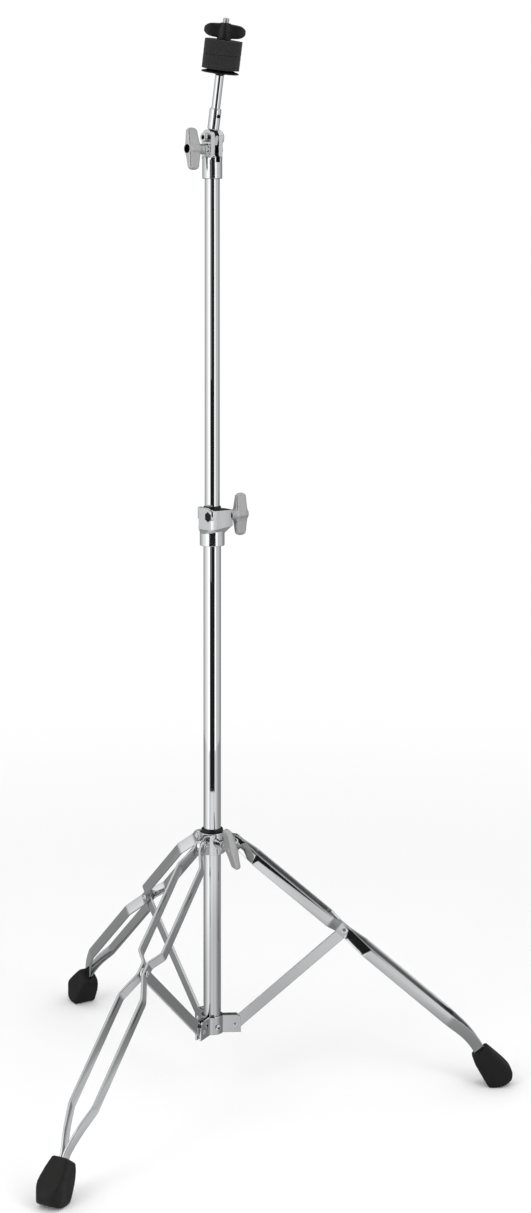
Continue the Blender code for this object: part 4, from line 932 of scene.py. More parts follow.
class STAND_OT_legs(bpy.types.Operator):
    """Model the three legs: two chromed strips each, a rubber foot and the rivet of the brace"""

    bl_idname = "cymbal_stand.legs"
    bl_label = "Legs and feet"

    def execute(self, context):
        sizes = context.scene.stand_sizes
        left = strip_pattern(sizes)
        right = mirrored(left, "strip_pattern_mirrored", 1)
        smooth(right, 40)
        foot = foot_pattern(sizes)
        rivet = rivet_pattern(sizes, 1.5 * sizes.strip_thickness + 2 * GAP)
        for side, place in LEG_PLACES.items():
            body = f"leg_{side}"
            for pattern, letter in ((right, "a"), (left, "b")):
                strip = placed(copied(pattern, f"strip_{side}_{letter}"), place)
                dressed(context, strip, body, f"leg_{side}_strip_{letter}", "strip")
            entry = place @ Matrix.Translation(leg_point(LEG_LENGTH)) @ turn(LEG_BEND_ANGLE, "Y")
            dressed(context, placed(copied(foot, f"foot_{side}"), entry), body, f"leg_{side}_foot", "rubber")
            pin = placed(copied(rivet, f"mid_rivet_{side}"), place @ shift(ARM_LENGTH))
            dressed(context, pin, body, f"leg_{side}_mid_rivet", "casting")
        for pattern in (left, right, foot, rivet):
            removed(pattern)
        return {"FINISHED"}


class STAND_OT_braces(bpy.types.Operator):
    """Model the three flat braces between the bracket and the legs"""

    bl_idname = "cymbal_stand.braces"
    bl_label = "Braces"

    def execute(self, context):
        sizes = context.scene.stand_sizes
        half, thick = sizes.brace_width / 2, sizes.strip_thickness
        outline = arc((0, 0), half, 90, 270, 24) + arc((ARM_LENGTH, 0), half, -90, 90, 24)
        pattern = placed(slab("brace_pattern", outline, -thick / 2, thick / 2), ALONG_Y)
        softened(pattern, sizes.strip_corner, 3, 50)
        for side, place in BRACE_PLACES.items():
            brace = placed(copied(pattern, f"flat_brace_{side}"), place)
            dressed(context, brace, f"brace_{side}", f"brace_{side}", "strip")
        removed(pattern)
        return {"FINISHED"}


# Bracket and collar


def plate_pattern(sizes):
    """A stamped bracket plate: a saddle on the tube and two ears along the neighbouring braces."""
    near = sizes.strip_thickness / 2 + GAP
    far = near + sizes.plate
    inner = sizes.base_tube / 2 + GAP
    outer = inner + sizes.plate
    reach = PIVOT_RADIUS + EAR_REACH
    inner_end = 60 - math.degrees(math.asin(near / inner))
    outer_end = 60 - math.degrees(math.asin(far / outer))
    along, across = math.cos(math.radians(60)), math.sin(math.radians(60))

    def ear(aside, side):
        return reach * along + aside * across, side * (reach * across - aside * along)

    outline = arc((0, 0), inner, -inner_end, inner_end, 28) + [ear(near, 1), ear(far, 1)]
    outline += arc((0, 0), outer, outer_end, -outer_end, 24) + [ear(far, -1), ear(near, -1)]
    plate = slab("plate_pattern", outline, -PLATE_DROP, PLATE_RISE)
    edit(plate)
    select_edges(plate, lambda point: point.z > PLATE_RISE - GAP and point.xy.length > reach - GAP)
    bpy.ops.mesh.bevel(offset=EAR_CORNER, segments=10, affect="EDGES")
    leave()
    return softened(plate, 0.0005, 3, 30)


def screw_pattern(sizes):
    """A pan-head screw along X with a cross recess."""
    head, height = sizes.screw_head / 2, sizes.screw_height
    dome = [(head, 0.3 * height), (0.97 * head, 0.5 * height), (0.88 * head, 0.72 * height),
            (0.7 * head, 0.9 * height), (0.4 * head, height), (0, 1.02 * height)]
    screw = lathe("screw_pattern", [(0, -SCREW_LENGTH), (0.002, -SCREW_LENGTH), (0.002, 0), (head, 0)] + dome, 48)
    for angle in (0, 90):
        wide, reach = 0.0008, head * 0.66
        blade = slab("blade", [(-reach, -wide), (reach, -wide), (reach, wide), (-reach, wide)],
                     0.35 * height, 2 * height)
        edit(blade)
        select_points(blade, lambda point: point.z < height)
        bpy.ops.transform.resize(value=(0.45, 0.6, 1), center_override=(0, 0, 0.35 * height))
        leave()
        cut(screw, placed(blade, turn(angle + 20, "Z")))
    return smooth(placed(screw, ALONG_X), 30)


class STAND_OT_bracket(bpy.types.Operator):
    """Model the three bracket plates at the foot of the tube, with their screws and rivets"""

    bl_idname = "cymbal_stand.bracket"
    bl_label = "Lower bracket"

    def execute(self, context):
        sizes = context.scene.stand_sizes
        plate = plate_pattern(sizes)
        screw = screw_pattern(sizes)
        rivet = rivet_pattern(sizes, sizes.strip_thickness / 2 + GAP + sizes.plate + GAP, 0.72)
        seat = sizes.base_tube / 2 + 2 * GAP + sizes.plate
        for letter, azimuth in (("a", -60.0), ("b", 60.0), ("c", 180.0)):
            spot = STAND @ turn(azimuth, "Z") @ shift(0, 0, BRACKET_Z)
            made = placed(copied(plate, f"saddle_plate_{letter}"), spot)
            dressed(context, made, "base", f"bracket_plate_{letter}", "strip")
            made = placed(copied(screw, f"saddle_screw_{letter}"), spot @ shift(seat))
            dressed(context, made, "base", f"bracket_screw_{letter}", "casting")
            # Painted shade in the cross recess of the screw head.
            deep = sizes.screw_height * 0.99
            dulled(context, made, spot @ shift(seat), lambda point: point.yz.length < SCREW_RECESS and point.x < deep)
        for side, azimuth in AZIMUTHS.items():
            spot = STAND @ turn(azimuth, "Z") @ shift(PIVOT_RADIUS, 0, BRACKET_Z)
            made = placed(copied(rivet, f"lower_rivet_{side}"), spot)
            dressed(context, made, "base", f"bracket_rivet_{side}", "casting")
        for pattern in (plate, screw, rivet):
            removed(pattern)
        return {"FINISHED"}


def wing(name, stations):
    """One wing along X, through stations of (out, depth, thickness, centre)."""
    out, depth, thickness, centre = stations[0]
    bpy.ops.object.select_all(action="DESELECT")
    bpy.ops.mesh.primitive_plane_add(size=1.0, rotation=(0, math.radians(90), 0))
    made = named(bpy.context.active_object, name)
    made.scale = (depth, thickness, 1.0)
    bpy.ops.object.transform_apply(location=True, rotation=True, scale=True)
    bpy.ops.object.mode_set(mode="EDIT")
    bpy.ops.mesh.select_all(action="SELECT")
    bpy.ops.mesh.bevel(offset=0.26 * thickness, segments=4, affect="VERTICES")
    bpy.ops.mesh.select_all(action="SELECT")
    bpy.ops.transform.translate(value=(out, 0, centre))
    for before, after in zip(stations, stations[1:]):
        step = (after[0] - before[0], 0, after[3] - before[3])
        bpy.ops.mesh.extrude_region_move(TRANSFORM_OT_translate={"value": step})
        bpy.ops.transform.resize(value=(1, after[2] / before[2], after[1] / before[1]),
                                 center_override=(after[0], 0, after[3]))
    leave()
    return outward(made)


def wing_stations(sizes, root):
    """Sections of a metal wing, from inside the hub to its rounded tip."""
    half = sizes.wing_span / 2
    root_centre = (NUT_NECK_LENGTH + NUT_LENGTH) / 2
    root_depth = NUT_LENGTH - NUT_NECK_LENGTH
    found = [(-0.002, root_depth, root, root_centre)]
    for share in (0.15, 0.3, 0.45, 0.6, 0.72, 0.82, 0.89, 0.94, 0.98, 1.0):
        blend = max(share - 0.15, 0.0) / 0.85
        close = 1.0 if share < 0.86 else math.sqrt(max(1 - ((share - 0.85) / 0.16) ** 2, 0.05))
        found.append((share * half, (root_depth + (WING_TIP_DEPTH - root_depth) * blend) * close,
                      (root + (WING_TIP - root) * blend ** 0.6) * close,
                      root_centre + (WING_TIP_CENTRE - root_centre) * blend))
    return found


def nut_pattern(sizes, name, with_shank=False):
    """A cast wing nut, or the wing bolt of the same family, along Z from its seat at Z = 0."""
    slim = BOLT_SLIMNESS if with_shank else 1.0
    hub_radius = NUT_HUB * slim
    if with_shank:
        end = [(hub_radius, NUT_LENGTH * 0.72), (hub_radius * 0.8, NUT_LENGTH * 0.9), (hub_radius * 0.4, NUT_LENGTH * 0.98)]
    else:
        end = [(hub_radius, NUT_LENGTH * 0.8), (RECESS_RADIUS + 0.0011, NUT_LENGTH)]
    hub = lathe(name, [(0, 0), (NUT_NECK * slim, 0), (NUT_NECK * slim, NUT_NECK_LENGTH * 0.8),
                       (hub_radius, NUT_NECK_LENGTH * 1.5)] + end + [(0, NUT_LENGTH)], 48)
    one = wing("wing_one", wing_stations(sizes, WING_ROOT * slim))
    other = mirrored(one, "wing_other", 0)
    joined(hub, one)
    joined(hub, other)
    cast(hub, 0.0003, 10)
    if not with_shank:
        cut(hub, bar("recess", RECESS_RADIUS, NUT_LENGTH - RECESS_DEPTH, NUT_LENGTH * 2, 48))
        cut(hub, bar("bore", BOLT_RADIUS + GAP, -0.01, NUT_LENGTH * 2, 32))
    return smooth(hub, 40)


def in_recess(point):
    """Whether a point of a wing nut lies in the recess at its end."""
    return point.xy.length < RECESS_RADIUS + GAP / 3 and point.z > NUT_LENGTH - RECESS_DEPTH - GAP


def lug_outline():
    """Side view of a collar lug as (out, up) from the leg pivot."""
    root = COLLAR_BORE + COLLAR_WALL / 2
    bottom, top = LUG_INSET - COLLAR_DROP, COLLAR_RISE - LUG_INSET
    shoulder = COLLAR_RADIUS + COLLAR_WALL
    return [(root, bottom), (shoulder, bottom)] + arc((PIVOT_RADIUS, 0), LUG_EYE, -60, 75, 16) + \
        [(shoulder, top), (root, top)]


COLLAR_BORE = 0.0222 / 2 + GAP + LINER_WALL + GAP
COLLAR_RADIUS = COLLAR_BORE + COLLAR_WALL


def collar_casting(sizes):
    """The collar with its three lugs and the boss of its wing bolt, in the collar's frame."""
    collar = bar("collar_casting", COLLAR_RADIUS, -COLLAR_DROP, COLLAR_RISE, 96)
    half, root_half = LUG_THICKNESS / 2, LUG_ROOT / 2
    for side, azimuth in AZIMUTHS.items():
        lug = placed(slab("lug", lug_outline(), -half, half), turn(azimuth, "Z") @ turn(90, "X"))
        joined(collar, lug)
        outline = [(COLLAR_BORE + GAP, -root_half), (LUG_ROOT_REACH, -half - GAP / 2),
                   (LUG_ROOT_REACH, half + GAP / 2), (COLLAR_BORE + GAP, root_half)]
        web = slab("web", outline, 2 * LUG_INSET - COLLAR_DROP, COLLAR_RISE - 2 * LUG_INSET)
        joined(collar, placed(web, turn(azimuth, "Z")))
    bolt_way = turn(COLLAR_BOLT_AZIMUTH, "Z") @ ALONG_X
    joined(collar, placed(bar("boss", BOSS_RADIUS, COLLAR_BORE + GAP, BOSS_REACH, 64), bolt_way))
    cut(collar, bar("bore", COLLAR_BORE, -2 * COLLAR_DROP, 2 * COLLAR_RISE, 96))
    cast(collar, sizes.casting_voxel, 8)
    cut(collar, placed(bar("bolt_hole", BOLT_RADIUS + GAP, 0, 2 * BOSS_REACH, 32), bolt_way))
    return smooth(collar, 40)


class STAND_OT_collar(bpy.types.Operator):
    """Model the leg collar, its nylon liner, the rivets of the legs and the wing bolt"""

    bl_idname = "cymbal_stand.collar"
    bl_label = "Leg collar"

    def execute(self, context):
        sizes = context.scene.stand_sizes
        collar = placed(collar_casting(sizes), COLLAR_PLACE)
        dressed(context, collar, "collar", "leg_collar", "casting")
        inner = sizes.base_tube / 2 + GAP
        outer = inner + LINER_WALL
        flange, top = COLLAR_RISE + GAP, COLLAR_RISE + GAP + sizes.liner_height
        rim = sizes.liner_flange
        profile = [(inner, -COLLAR_DROP), (outer, -COLLAR_DROP), (outer, flange), (rim - 0.0005, flange)]
        profile += arc((rim - 0.0012, flange + 0.0012), 0.0012, -60, 0, 4)
        profile += arc((rim - 0.0014, top - 0.0014), 0.0014, 0, 90, 5) + [(inner + 0.0004, top), (inner, top - 0.0004)]
        liner = placed(smooth(lathe("nylon_liner", profile, 96, closed=True), 50), COLLAR_PLACE)
        dressed(context, liner, "collar", "collar_liner", "nylon")
        rivet = rivet_pattern(sizes, LUG_THICKNESS / 2 + GAP + sizes.strip_thickness + GAP)
        for side, azimuth in AZIMUTHS.items():
            pin = placed(copied(rivet, f"upper_rivet_{side}"), COLLAR_PLACE @ turn(azimuth, "Z") @ shift(PIVOT_RADIUS))
            dressed(context, pin, "collar", f"collar_rivet_{side}", "casting")
        removed(rivet)
        seat = BOSS_REACH + GAP
        bolt = nut_pattern(sizes, "wing_bolt", with_shank=True)
        joined(bolt, bar("shank", BOLT_RADIUS, outer + GAP - seat, NUT_NECK_LENGTH, 32))
        spot = COLLAR_PLACE @ turn(COLLAR_BOLT_AZIMUTH, "Z") @ ALONG_X @ shift(0, 0, seat)
        bolt = placed(smooth(bolt, 40), spot @ turn(COLLAR_BOLT_LEAN, "Z"))
        dressed(context, bolt, "collar_bolt", "collar_wing_bolt", "satin")
        return {"FINISHED"}


# Tubes


class STAND_OT_tubes(bpy.types.Operator):
    """Model the base tube, the upper tube and the nylon bushing between them"""

    bl_idname = "cymbal_stand.tubes"
    bl_label = "Tubes"

    def execute(self, context):
        sizes = context.scene.stand_sizes
        for name, outer, bottom, top, body, node_name in (
                ("lower_tube", sizes.base_tube / 2, TUBE_BOTTOM, TUBE_TOP, "base", "base_tube"),
                ("sliding_tube", sizes.upper_tube / 2, UPPER_TUBE_BOTTOM, UPPER_TUBE_TOP, "upper", "upper_tube")):
            profile = rounded_ring(outer - sizes.tube_wall, outer, bottom, top, 0.0003)
            tube = placed(smooth(lathe(name, profile, 128, closed=True), 50), STAND)
            dressed(context, tube, body, node_name, "tube")
        profile = rounded_ring(sizes.upper_tube / 2 + GAP, sizes.base_tube / 2, 0, BUSHING_HEIGHT, 0.0003)
        bushing = placed(smooth(lathe("nylon_bushing", profile, 96, closed=True), 50), CLAMP_PLACE)
        dressed(context, bushing, "bushing", "tube_bushing", "nylon")
        return {"FINISHED"}


# Height clamp


def hex_bolt(name, reach):
    """A hex bolt along Z whose chamfered head lies below its seat at Z = 0."""
    head = slab(name, hexagon(HEX_FLATS), -HEX_HEIGHT, 0)
    corner = HEX_FLATS / math.sqrt(3)
    chamfer = lathe("chamfer", [(0, -HEX_HEIGHT), (HEX_FLATS * 0.47, -HEX_HEIGHT), (corner * 1.02, -HEX_HEIGHT * 0.72),
                                (corner * 1.02, 0), (0, 0)], 64)
    combined(head, chamfer, "INTERSECT")
    joined(head, lathe("shank", [(0, -HEX_HEIGHT / 2), (BOLT_RADIUS, -HEX_HEIGHT / 2), (BOLT_RADIUS, reach - 0.0008),
                                 (BOLT_RADIUS - 0.0008, reach), (0, reach)], 32))
    return smooth(head, 25)


def washer(name):
    profile = rounded_ring(BOLT_RADIUS + GAP, WASHER_RADIUS, 0, WASHER_THICKNESS, 0.0002)
    return smooth(lathe(name, profile, 64, closed=True), 30)


def hull(name, points):
    """Closed shape round a set of points."""
    made = chain(name, points)
    bpy.ops.mesh.select_all(action="SELECT")
    bpy.ops.mesh.convex_hull()
    leave()
    return outward(made)


def clamp_skirt():
    """The webs under the clamp's block that run down into its sleeve, lowest at the two sides."""
    top = [(-0.3 * SLEEVE_RADIUS, -HEX_FACE + 0.0006, 0.002), (FRONT_FACE - 0.001, -HEX_FACE + 0.0006, 0.002),
           (-0.3 * SLEEVE_RADIUS, -HEX_FACE + 0.0006, -0.0005), (FRONT_FACE - 0.001, -HEX_FACE + 0.0006, -0.0005),
           (FRONT_FACE - 0.001, FAR_FACE - 0.001, 0.0035), (0.25 * SLEEVE_RADIUS, FAR_FACE - 0.001, 0.0035),
           (FRONT_FACE - 0.001, FAR_FACE - 0.001, 0.002), (0.25 * SLEEVE_RADIUS, FAR_FACE - 0.001, 0.002)]
    for angle, depth in SKIRT_STOPS:
        way = math.radians(angle)
        top.append((0.97 * SLEEVE_RADIUS * math.cos(way), 0.97 * SLEEVE_RADIUS * math.sin(way), -depth))
    return hull("skirt", top)


def clamp_casting(sizes):
    """The height clamp in its own frame: X towards its front face, Y along its bolt."""
    bottom = -SLEEVE_LENGTH
    clamp = bar("clamp_casting", SLEEVE_RADIUS, bottom, BLOCK_HEIGHT, 96)
    inside = arc((0, 0), 0.94 * SLEEVE_RADIUS, 112, 236, 12)
    middle_y, half_y = (FAR_FACE - HEX_FACE) / 2, (FAR_FACE + HEX_FACE) / 2
    front = [(FRONT_FACE + FRONT_CROWN * (1 - share ** 2) - FRONT_CROWN / 2, middle_y + half_y * share)
             for share in (-1, -0.75, -0.5, -0.25, 0, 0.25, 0.5, 0.75, 1)]
    outline = front + [(CLAMP_CORNER, FAR_FACE)] + inside + [(-CLAMP_CORNER, -HEX_FACE)]
    block = slab("block", outline, -SLEEVE_LENGTH, BLOCK_HEIGHT)
    reach = 2 * FRONT_FACE
    underside = [(-reach, BLOCK_HEIGHT * 2), (-reach, -UNDERSIDE_DROP), (-HEX_FACE, -UNDERSIDE_DROP),
                 (FAR_FACE, UNDERSIDE_RISE), (reach, UNDERSIDE_RISE), (reach, BLOCK_HEIGHT * 2)]
    combined(block, placed(slab("underside", underside, -reach, reach), ALONG_X @ turn(90, "Z")), "INTERSECT")
    joined(clamp, block)
    ear_back = -0.4 * SLEEVE_RADIUS
    ear = [(ear_back, BLOCK_HEIGHT / 2), (FRONT_FACE - GAP, BLOCK_HEIGHT / 2), (FRONT_FACE - GAP, BLOCK_HEIGHT - GAP),
           (0.75 * FRONT_FACE, BLOCK_HEIGHT + 0.4 * EAR_EXTRA), (0.35 * FRONT_FACE, BLOCK_HEIGHT + 0.85 * EAR_EXTRA),
           (ear_back, BLOCK_HEIGHT + EAR_EXTRA)]
    joined(clamp, placed(slab("ear", ear, HEX_FACE - CLAMP_EAR, HEX_FACE - GAP), turn(90, "X")))
    joined(clamp, clamp_skirt())
    cut(clamp, bar("bore", sizes.base_tube / 2 + GAP, bottom * 2, BLOCK_HEIGHT * 2, 96))
    slit_at = -HEX_FACE + SLIT_INSET
    slit = slab("slit", [(-CLAMP_SLIT, slit_at), (reach, slit_at), (reach, slit_at + CLAMP_SLIT),
                         (-CLAMP_SLIT, slit_at + CLAMP_SLIT)], BLOCK_HEIGHT - SLIT_DEPTH, BLOCK_HEIGHT * 2)
    cut(clamp, slit)
    cast(clamp, sizes.casting_voxel, 8)
    bolt_line = shift(CLAMP_BOLT_OFFSET, 0, CLAMP_BOLT_RISE) @ ALONG_Y
    cut(clamp, placed(bar("bolt_hole", BOLT_RADIUS + GAP, -HEX_FACE * 2, FAR_FACE * 2, 32), bolt_line))
    pocket = slab("pocket", hexagon(HEX_FLATS + 2 * GAP), -HEX_FACE * 2, -HEX_FACE + POCKET_DEPTH)
    cut(clamp, placed(pocket, bolt_line @ turn(30, "Z")))
    cut(clamp, placed(bar("sink", WASHER_RADIUS + GAP, FAR_FACE - NUT_SINK, FAR_FACE * 2, 64), bolt_line))
    return smooth(clamp, 40)


class STAND_OT_height_clamp(bpy.types.Operator):
    """Model the height clamp with its bolt, washer and wing nut"""

    bl_idname = "cymbal_stand.height_clamp"
    bl_label = "Height clamp"

    def execute(self, context):
        sizes = context.scene.stand_sizes
        line = CLAMP_PLACE @ shift(CLAMP_BOLT_OFFSET, 0, CLAMP_BOLT_RISE) @ ALONG_Y
        seat = -HEX_FACE + POCKET_DEPTH
        dressed(context, placed(clamp_casting(sizes), CLAMP_PLACE), "base", "height_clamp", "casting")
        bolt = placed(hex_bolt("clamp_hex_bolt", CLAMP_BOLT_REACH - seat), line @ shift(0, 0, seat - GAP) @ turn(30, "Z"))
        dressed(context, bolt, "base", "clamp_bolt", "steel")
        sunk = FAR_FACE - NUT_SINK
        disc = placed(washer("clamp_disc"), line @ shift(0, 0, sunk + GAP))
        dressed(context, disc, "base", "clamp_washer", "casting")
        spot = line @ shift(0, 0, sunk + WASHER_THICKNESS + 2 * GAP) @ turn(90, "Z")
        nut = placed(nut_pattern(sizes, "height_wing_nut"), spot)
        dressed(context, nut, "clamp_nut", "clamp_wing_nut", "satin")
        # Painted shade in the recess at the wing nut's end.
        dulled(context, nut, spot, in_recess)
        return {"FINISHED"}


# Tilter


def fork_casting(sizes):
    """The tilter's socket and fork, in the tilter's frame."""
    socket = lathe("fork_casting", [(0, 0), (SOCKET_RADIUS, 0), (SOCKET_RADIUS, SOCKET_HEIGHT - SOCKET_SLOPE),
                                    (FORK_WAIST * 0.93, SOCKET_HEIGHT), (0, SOCKET_HEIGHT)], 96)
    outline = [(-FORK_WAIST, SOCKET_HEIGHT * 0.78), (FORK_WAIST, SOCKET_HEIGHT * 0.78)] + \
        arc((0, TILT_PIVOT), FORK_EYE, -8, 188, 28)
    joined(socket, placed(slab("fork", outline, -FORK_HALF, FORK_HALF), turn(90, "X")))
    line = shift(0, 0, TILTER_BOLT) @ turn(90, "X")
    boss_end = FORK_HALF + FORK_BOSS_LENGTH
    joined(socket, placed(bar("boss", FORK_BOSS, FORK_SLOT, boss_end, 64), line))
    pivot_line = shift(0, 0, TILT_PIVOT) @ turn(90, "X")
    bulge = lathe("bulge", [(0, -FORK_SLOT), (FORK_EYE - 0.0008, -FORK_SLOT), (FORK_EYE, -FORK_SLOT - 0.001),
                            (FORK_EYE, -FORK_HALF - 0.0012), (FORK_EYE * 0.9, -FORK_HALF - 0.0028),
                            (FORK_EYE * 0.7, -FORK_HALF - EAR_BULGE), (0, -FORK_HALF - EAR_BULGE)], 64)
    joined(socket, placed(bulge, pivot_line))
    flare = [(across, along, height) for across in (-FORK_WAIST, FORK_WAIST) for along, height in (
        (-FORK_HALF + 0.001, TILT_PIVOT - 0.002), (-FORK_SLOT / 2 - 0.001, TILT_PIVOT - 0.002),
        (-SOCKET_RADIUS * 0.8, SOCKET_HEIGHT - 0.005), (-FORK_SLOT / 2 - 0.001, SOCKET_HEIGHT - 0.005))]
    joined(socket, hull("flare", flare))
    half = FORK_SLOT / 2
    wide = SOCKET_RADIUS * 2
    cut(socket, slab("slot", [(-wide, -half), (wide, -half), (wide, half), (-wide, half)], SLOT_BOTTOM, TILT_PIVOT * 2))
    cast(socket, sizes.casting_voxel, 6)
    cut(socket, bar("tube_bore", sizes.upper_tube / 2 + GAP, -SOCKET_DEPTH, SOCKET_DEPTH, 96))
    cut(socket, placed(bar("bolt_hole", BOLT_RADIUS + GAP, -boss_end * 2, boss_end * 2, 32), line))
    pivot_hole = bar("pivot_hole", PIVOT_RADIUS_BOLT + GAP, -boss_end * 2, boss_end * 2, 32)
    cut(socket, placed(pivot_hole, pivot_line))
    nut_room = bar("nut_room", PIVOT_NUT_FLATS / math.sqrt(3) + 2 * GAP, -boss_end * 2, -FORK_HALF, 48)
    cut(socket, placed(nut_room, pivot_line))
    return smooth(socket, 40)


def arm_casting(sizes):
    """The disc between the fork's ears and the stem above it, in the arm's frame."""
    half = FORK_SLOT / 2 - GAP
    neck = STEM_RADIUS * 0.9
    neck_top = (STEM_START + ROD_START) / 2
    spread = math.degrees(math.asin(min(neck / DISC_RADIUS, 1.0)))
    outline = arc((0, 0), DISC_RADIUS, 90 + spread, 450 - spread, 40) + [(neck, neck_top), (-neck, neck_top)]
    body = placed(slab("arm_casting", outline, -half, half), turn(90, "X"))
    joined(body, lathe("stem", [(0, STEM_START), (STEM_RADIUS - 0.0008, STEM_START), (STEM_RADIUS, STEM_START + 0.0008),
                                (STEM_RADIUS, STEM_END - 0.001), (STEM_RADIUS - 0.001, STEM_END), (0, STEM_END)], 64))
    link = arc((0, LINK_RISE), LINK_HALF, 0, 180, 12) + arc((0, -LINK_RISE), LINK_HALF, 180, 360, 12)
    eye = arc((0, LINK_RISE), LINK_HOLE, 0, 180, 8) + arc((0, -LINK_RISE), LINK_HOLE, 180, 360, 8)
    ring = slab("link", link, DISC_RADIUS - 0.003, DISC_RADIUS + LINK_PROUD)
    cut(ring, slab("eye", eye, DISC_RADIUS + GAP, DISC_RADIUS * 2))
    joined(body, placed(ring, shift(0, 0, LINK_Z) @ turn(90, "Z") @ turn(90, "X")))
    cast(body, 0.0003, 4)
    cut(body, bar("rod_bore", ROD_RADIUS + GAP, ROD_START - GAP, STEM_END * 2, 48))
    pivot_hole = bar("pivot_hole", PIVOT_RADIUS_BOLT + GAP, -FORK_SLOT, FORK_SLOT, 32)
    cut(body, placed(pivot_hole, turn(90, "X")))
    hole = bar("screw_hole", SET_SCREW_RADIUS + GAP, 0, STEM_RADIUS * 2, 32)
    cut(body, placed(hole, shift(0, 0, SET_SCREW_PLACE) @ ALONG_X))
    return smooth(body, 40)


def pivot_bolt():
    """The pivot bolt along Z, with a round head and a hexagonal key socket."""
    seat = FORK_HALF + GAP
    shank = PIVOT_RADIUS_BOLT
    far_end = -seat - PIVOT_NUT_HEIGHT - shank / 2
    head_end = seat + PIVOT_HEAD_LENGTH
    profile = [(0, far_end), (shank - 0.0005, far_end), (shank, far_end + 0.0005), (shank, seat), (PIVOT_HEAD, seat),
               (PIVOT_HEAD, head_end - 0.0005), (PIVOT_HEAD - 0.0005, head_end), (0, head_end)]
    bolt = lathe("pivot_cap_bolt", profile, 48)
    cut(bolt, slab("key", hexagon(KEY_FLATS), head_end - KEY_DEPTH, head_end * 2))
    return smooth(bolt, 25)


def pivot_nut():
    """The pivot's hex nut along Z from Z = 0."""
    nut = slab("pivot_hex_nut", hexagon(PIVOT_NUT_FLATS), 0, PIVOT_NUT_HEIGHT)
    corner = PIVOT_NUT_FLATS / math.sqrt(3) * 1.02
    flat, top = PIVOT_NUT_FLATS * 0.47, PIVOT_NUT_HEIGHT
    chamfer = lathe("chamfer", [(0, 0), (flat, 0), (corner, 0.2 * top), (corner, 0.8 * top), (flat, top), (0, top)], 64)
    combined(nut, chamfer, "INTERSECT")
    cut(nut, bar("thread", PIVOT_RADIUS_BOLT + GAP, -top, 2 * top, 32))
    return smooth(nut, 25)


class STAND_OT_tilter(bpy.types.Operator):
    """Model the tilter: fork, arm, pivot bolt and nut, clamp bolt, washer, wing nut and set screw"""

    bl_idname = "cymbal_stand.tilter"
    bl_label = "Tilter"

    def execute(self, context):
        sizes = context.scene.stand_sizes
        fork = placed(fork_casting(sizes), TILTER_PLACE)
        dressed(context, fork, "upper", "tilter_base", "casting")
        # Painted shade on the walls of the fork's slot.
        wall = FORK_SLOT / 2 + GAP
        dulled(context, fork, TILTER_PLACE, lambda point: abs(point.y) < wall and point.z > SLOT_BOTTOM - GAP)
        arm = placed(arm_casting(sizes), ARM_PLACE)
        dressed(context, arm, "arm", "tilter_arm", "casting")
        # Painted shade on the arm's disc, which sits between the fork's ears.
        rim = DISC_RADIUS + GAP
        dulled(context, arm, ARM_PLACE, lambda point: point.z < STEM_START - GAP and point.x < rim)
        line = TILTER_PLACE @ shift(0, 0, TILTER_BOLT) @ turn(90, "X")
        back = -FORK_HALF - GAP
        bolt = placed(hex_bolt("tilter_hex_bolt", TILTER_BOLT_REACH - back), line @ shift(0, 0, back))
        dressed(context, bolt, "upper", "tilter_clamp_bolt", "casting")
        seat = FORK_HALF + FORK_BOSS_LENGTH + GAP
        dressed(context, placed(washer("tilter_disc"), line @ shift(0, 0, seat)), "upper", "tilter_washer", "casting")
        spot = line @ shift(0, 0, seat + WASHER_THICKNESS + GAP) @ turn(95, "Z")
        nut = placed(nut_pattern(sizes, "tilter_nut_wings"), spot)
        dressed(context, nut, "tilter_nut", "tilter_wing_nut", "satin")
        # Painted shade in the recess at the wing nut's end.
        dulled(context, nut, spot, in_recess)
        pivot = TILTER_PLACE @ shift(0, 0, TILT_PIVOT) @ turn(90, "X")
        cap = placed(pivot_bolt(), pivot)
        dressed(context, cap, "upper", "pivot_bolt", "casting")
        # Painted shade in the pivot bolt's key socket.
        socket = FORK_HALF + PIVOT_HEAD_LENGTH - KEY_DEPTH
        dulled(context, cap, pivot, lambda point: point.xy.length < 0.6 * KEY_FLATS and point.z > socket)
        nut_place = pivot @ shift(0, 0, -FORK_HALF - GAP - PIVOT_NUT_HEIGHT)
        dressed(context, placed(pivot_nut(), nut_place), "upper", "pivot_nut", "casting")
        start = ROD_RADIUS + GAP
        screw = bar("set_screw_steel", SET_SCREW_RADIUS, start, start + 0.0028, 32)
        cut(screw, slab("key", hexagon(SET_SCREW_RADIUS), start + 0.0014, STEM_RADIUS * 2))
        screw = placed(smooth(screw, 30), ARM_PLACE @ shift(0, 0, SET_SCREW_PLACE) @ ALONG_X)
        dressed(context, screw, "arm", "set_screw", "steel")
        return {"FINISHED"}


# Rod, seat, felts and top nut


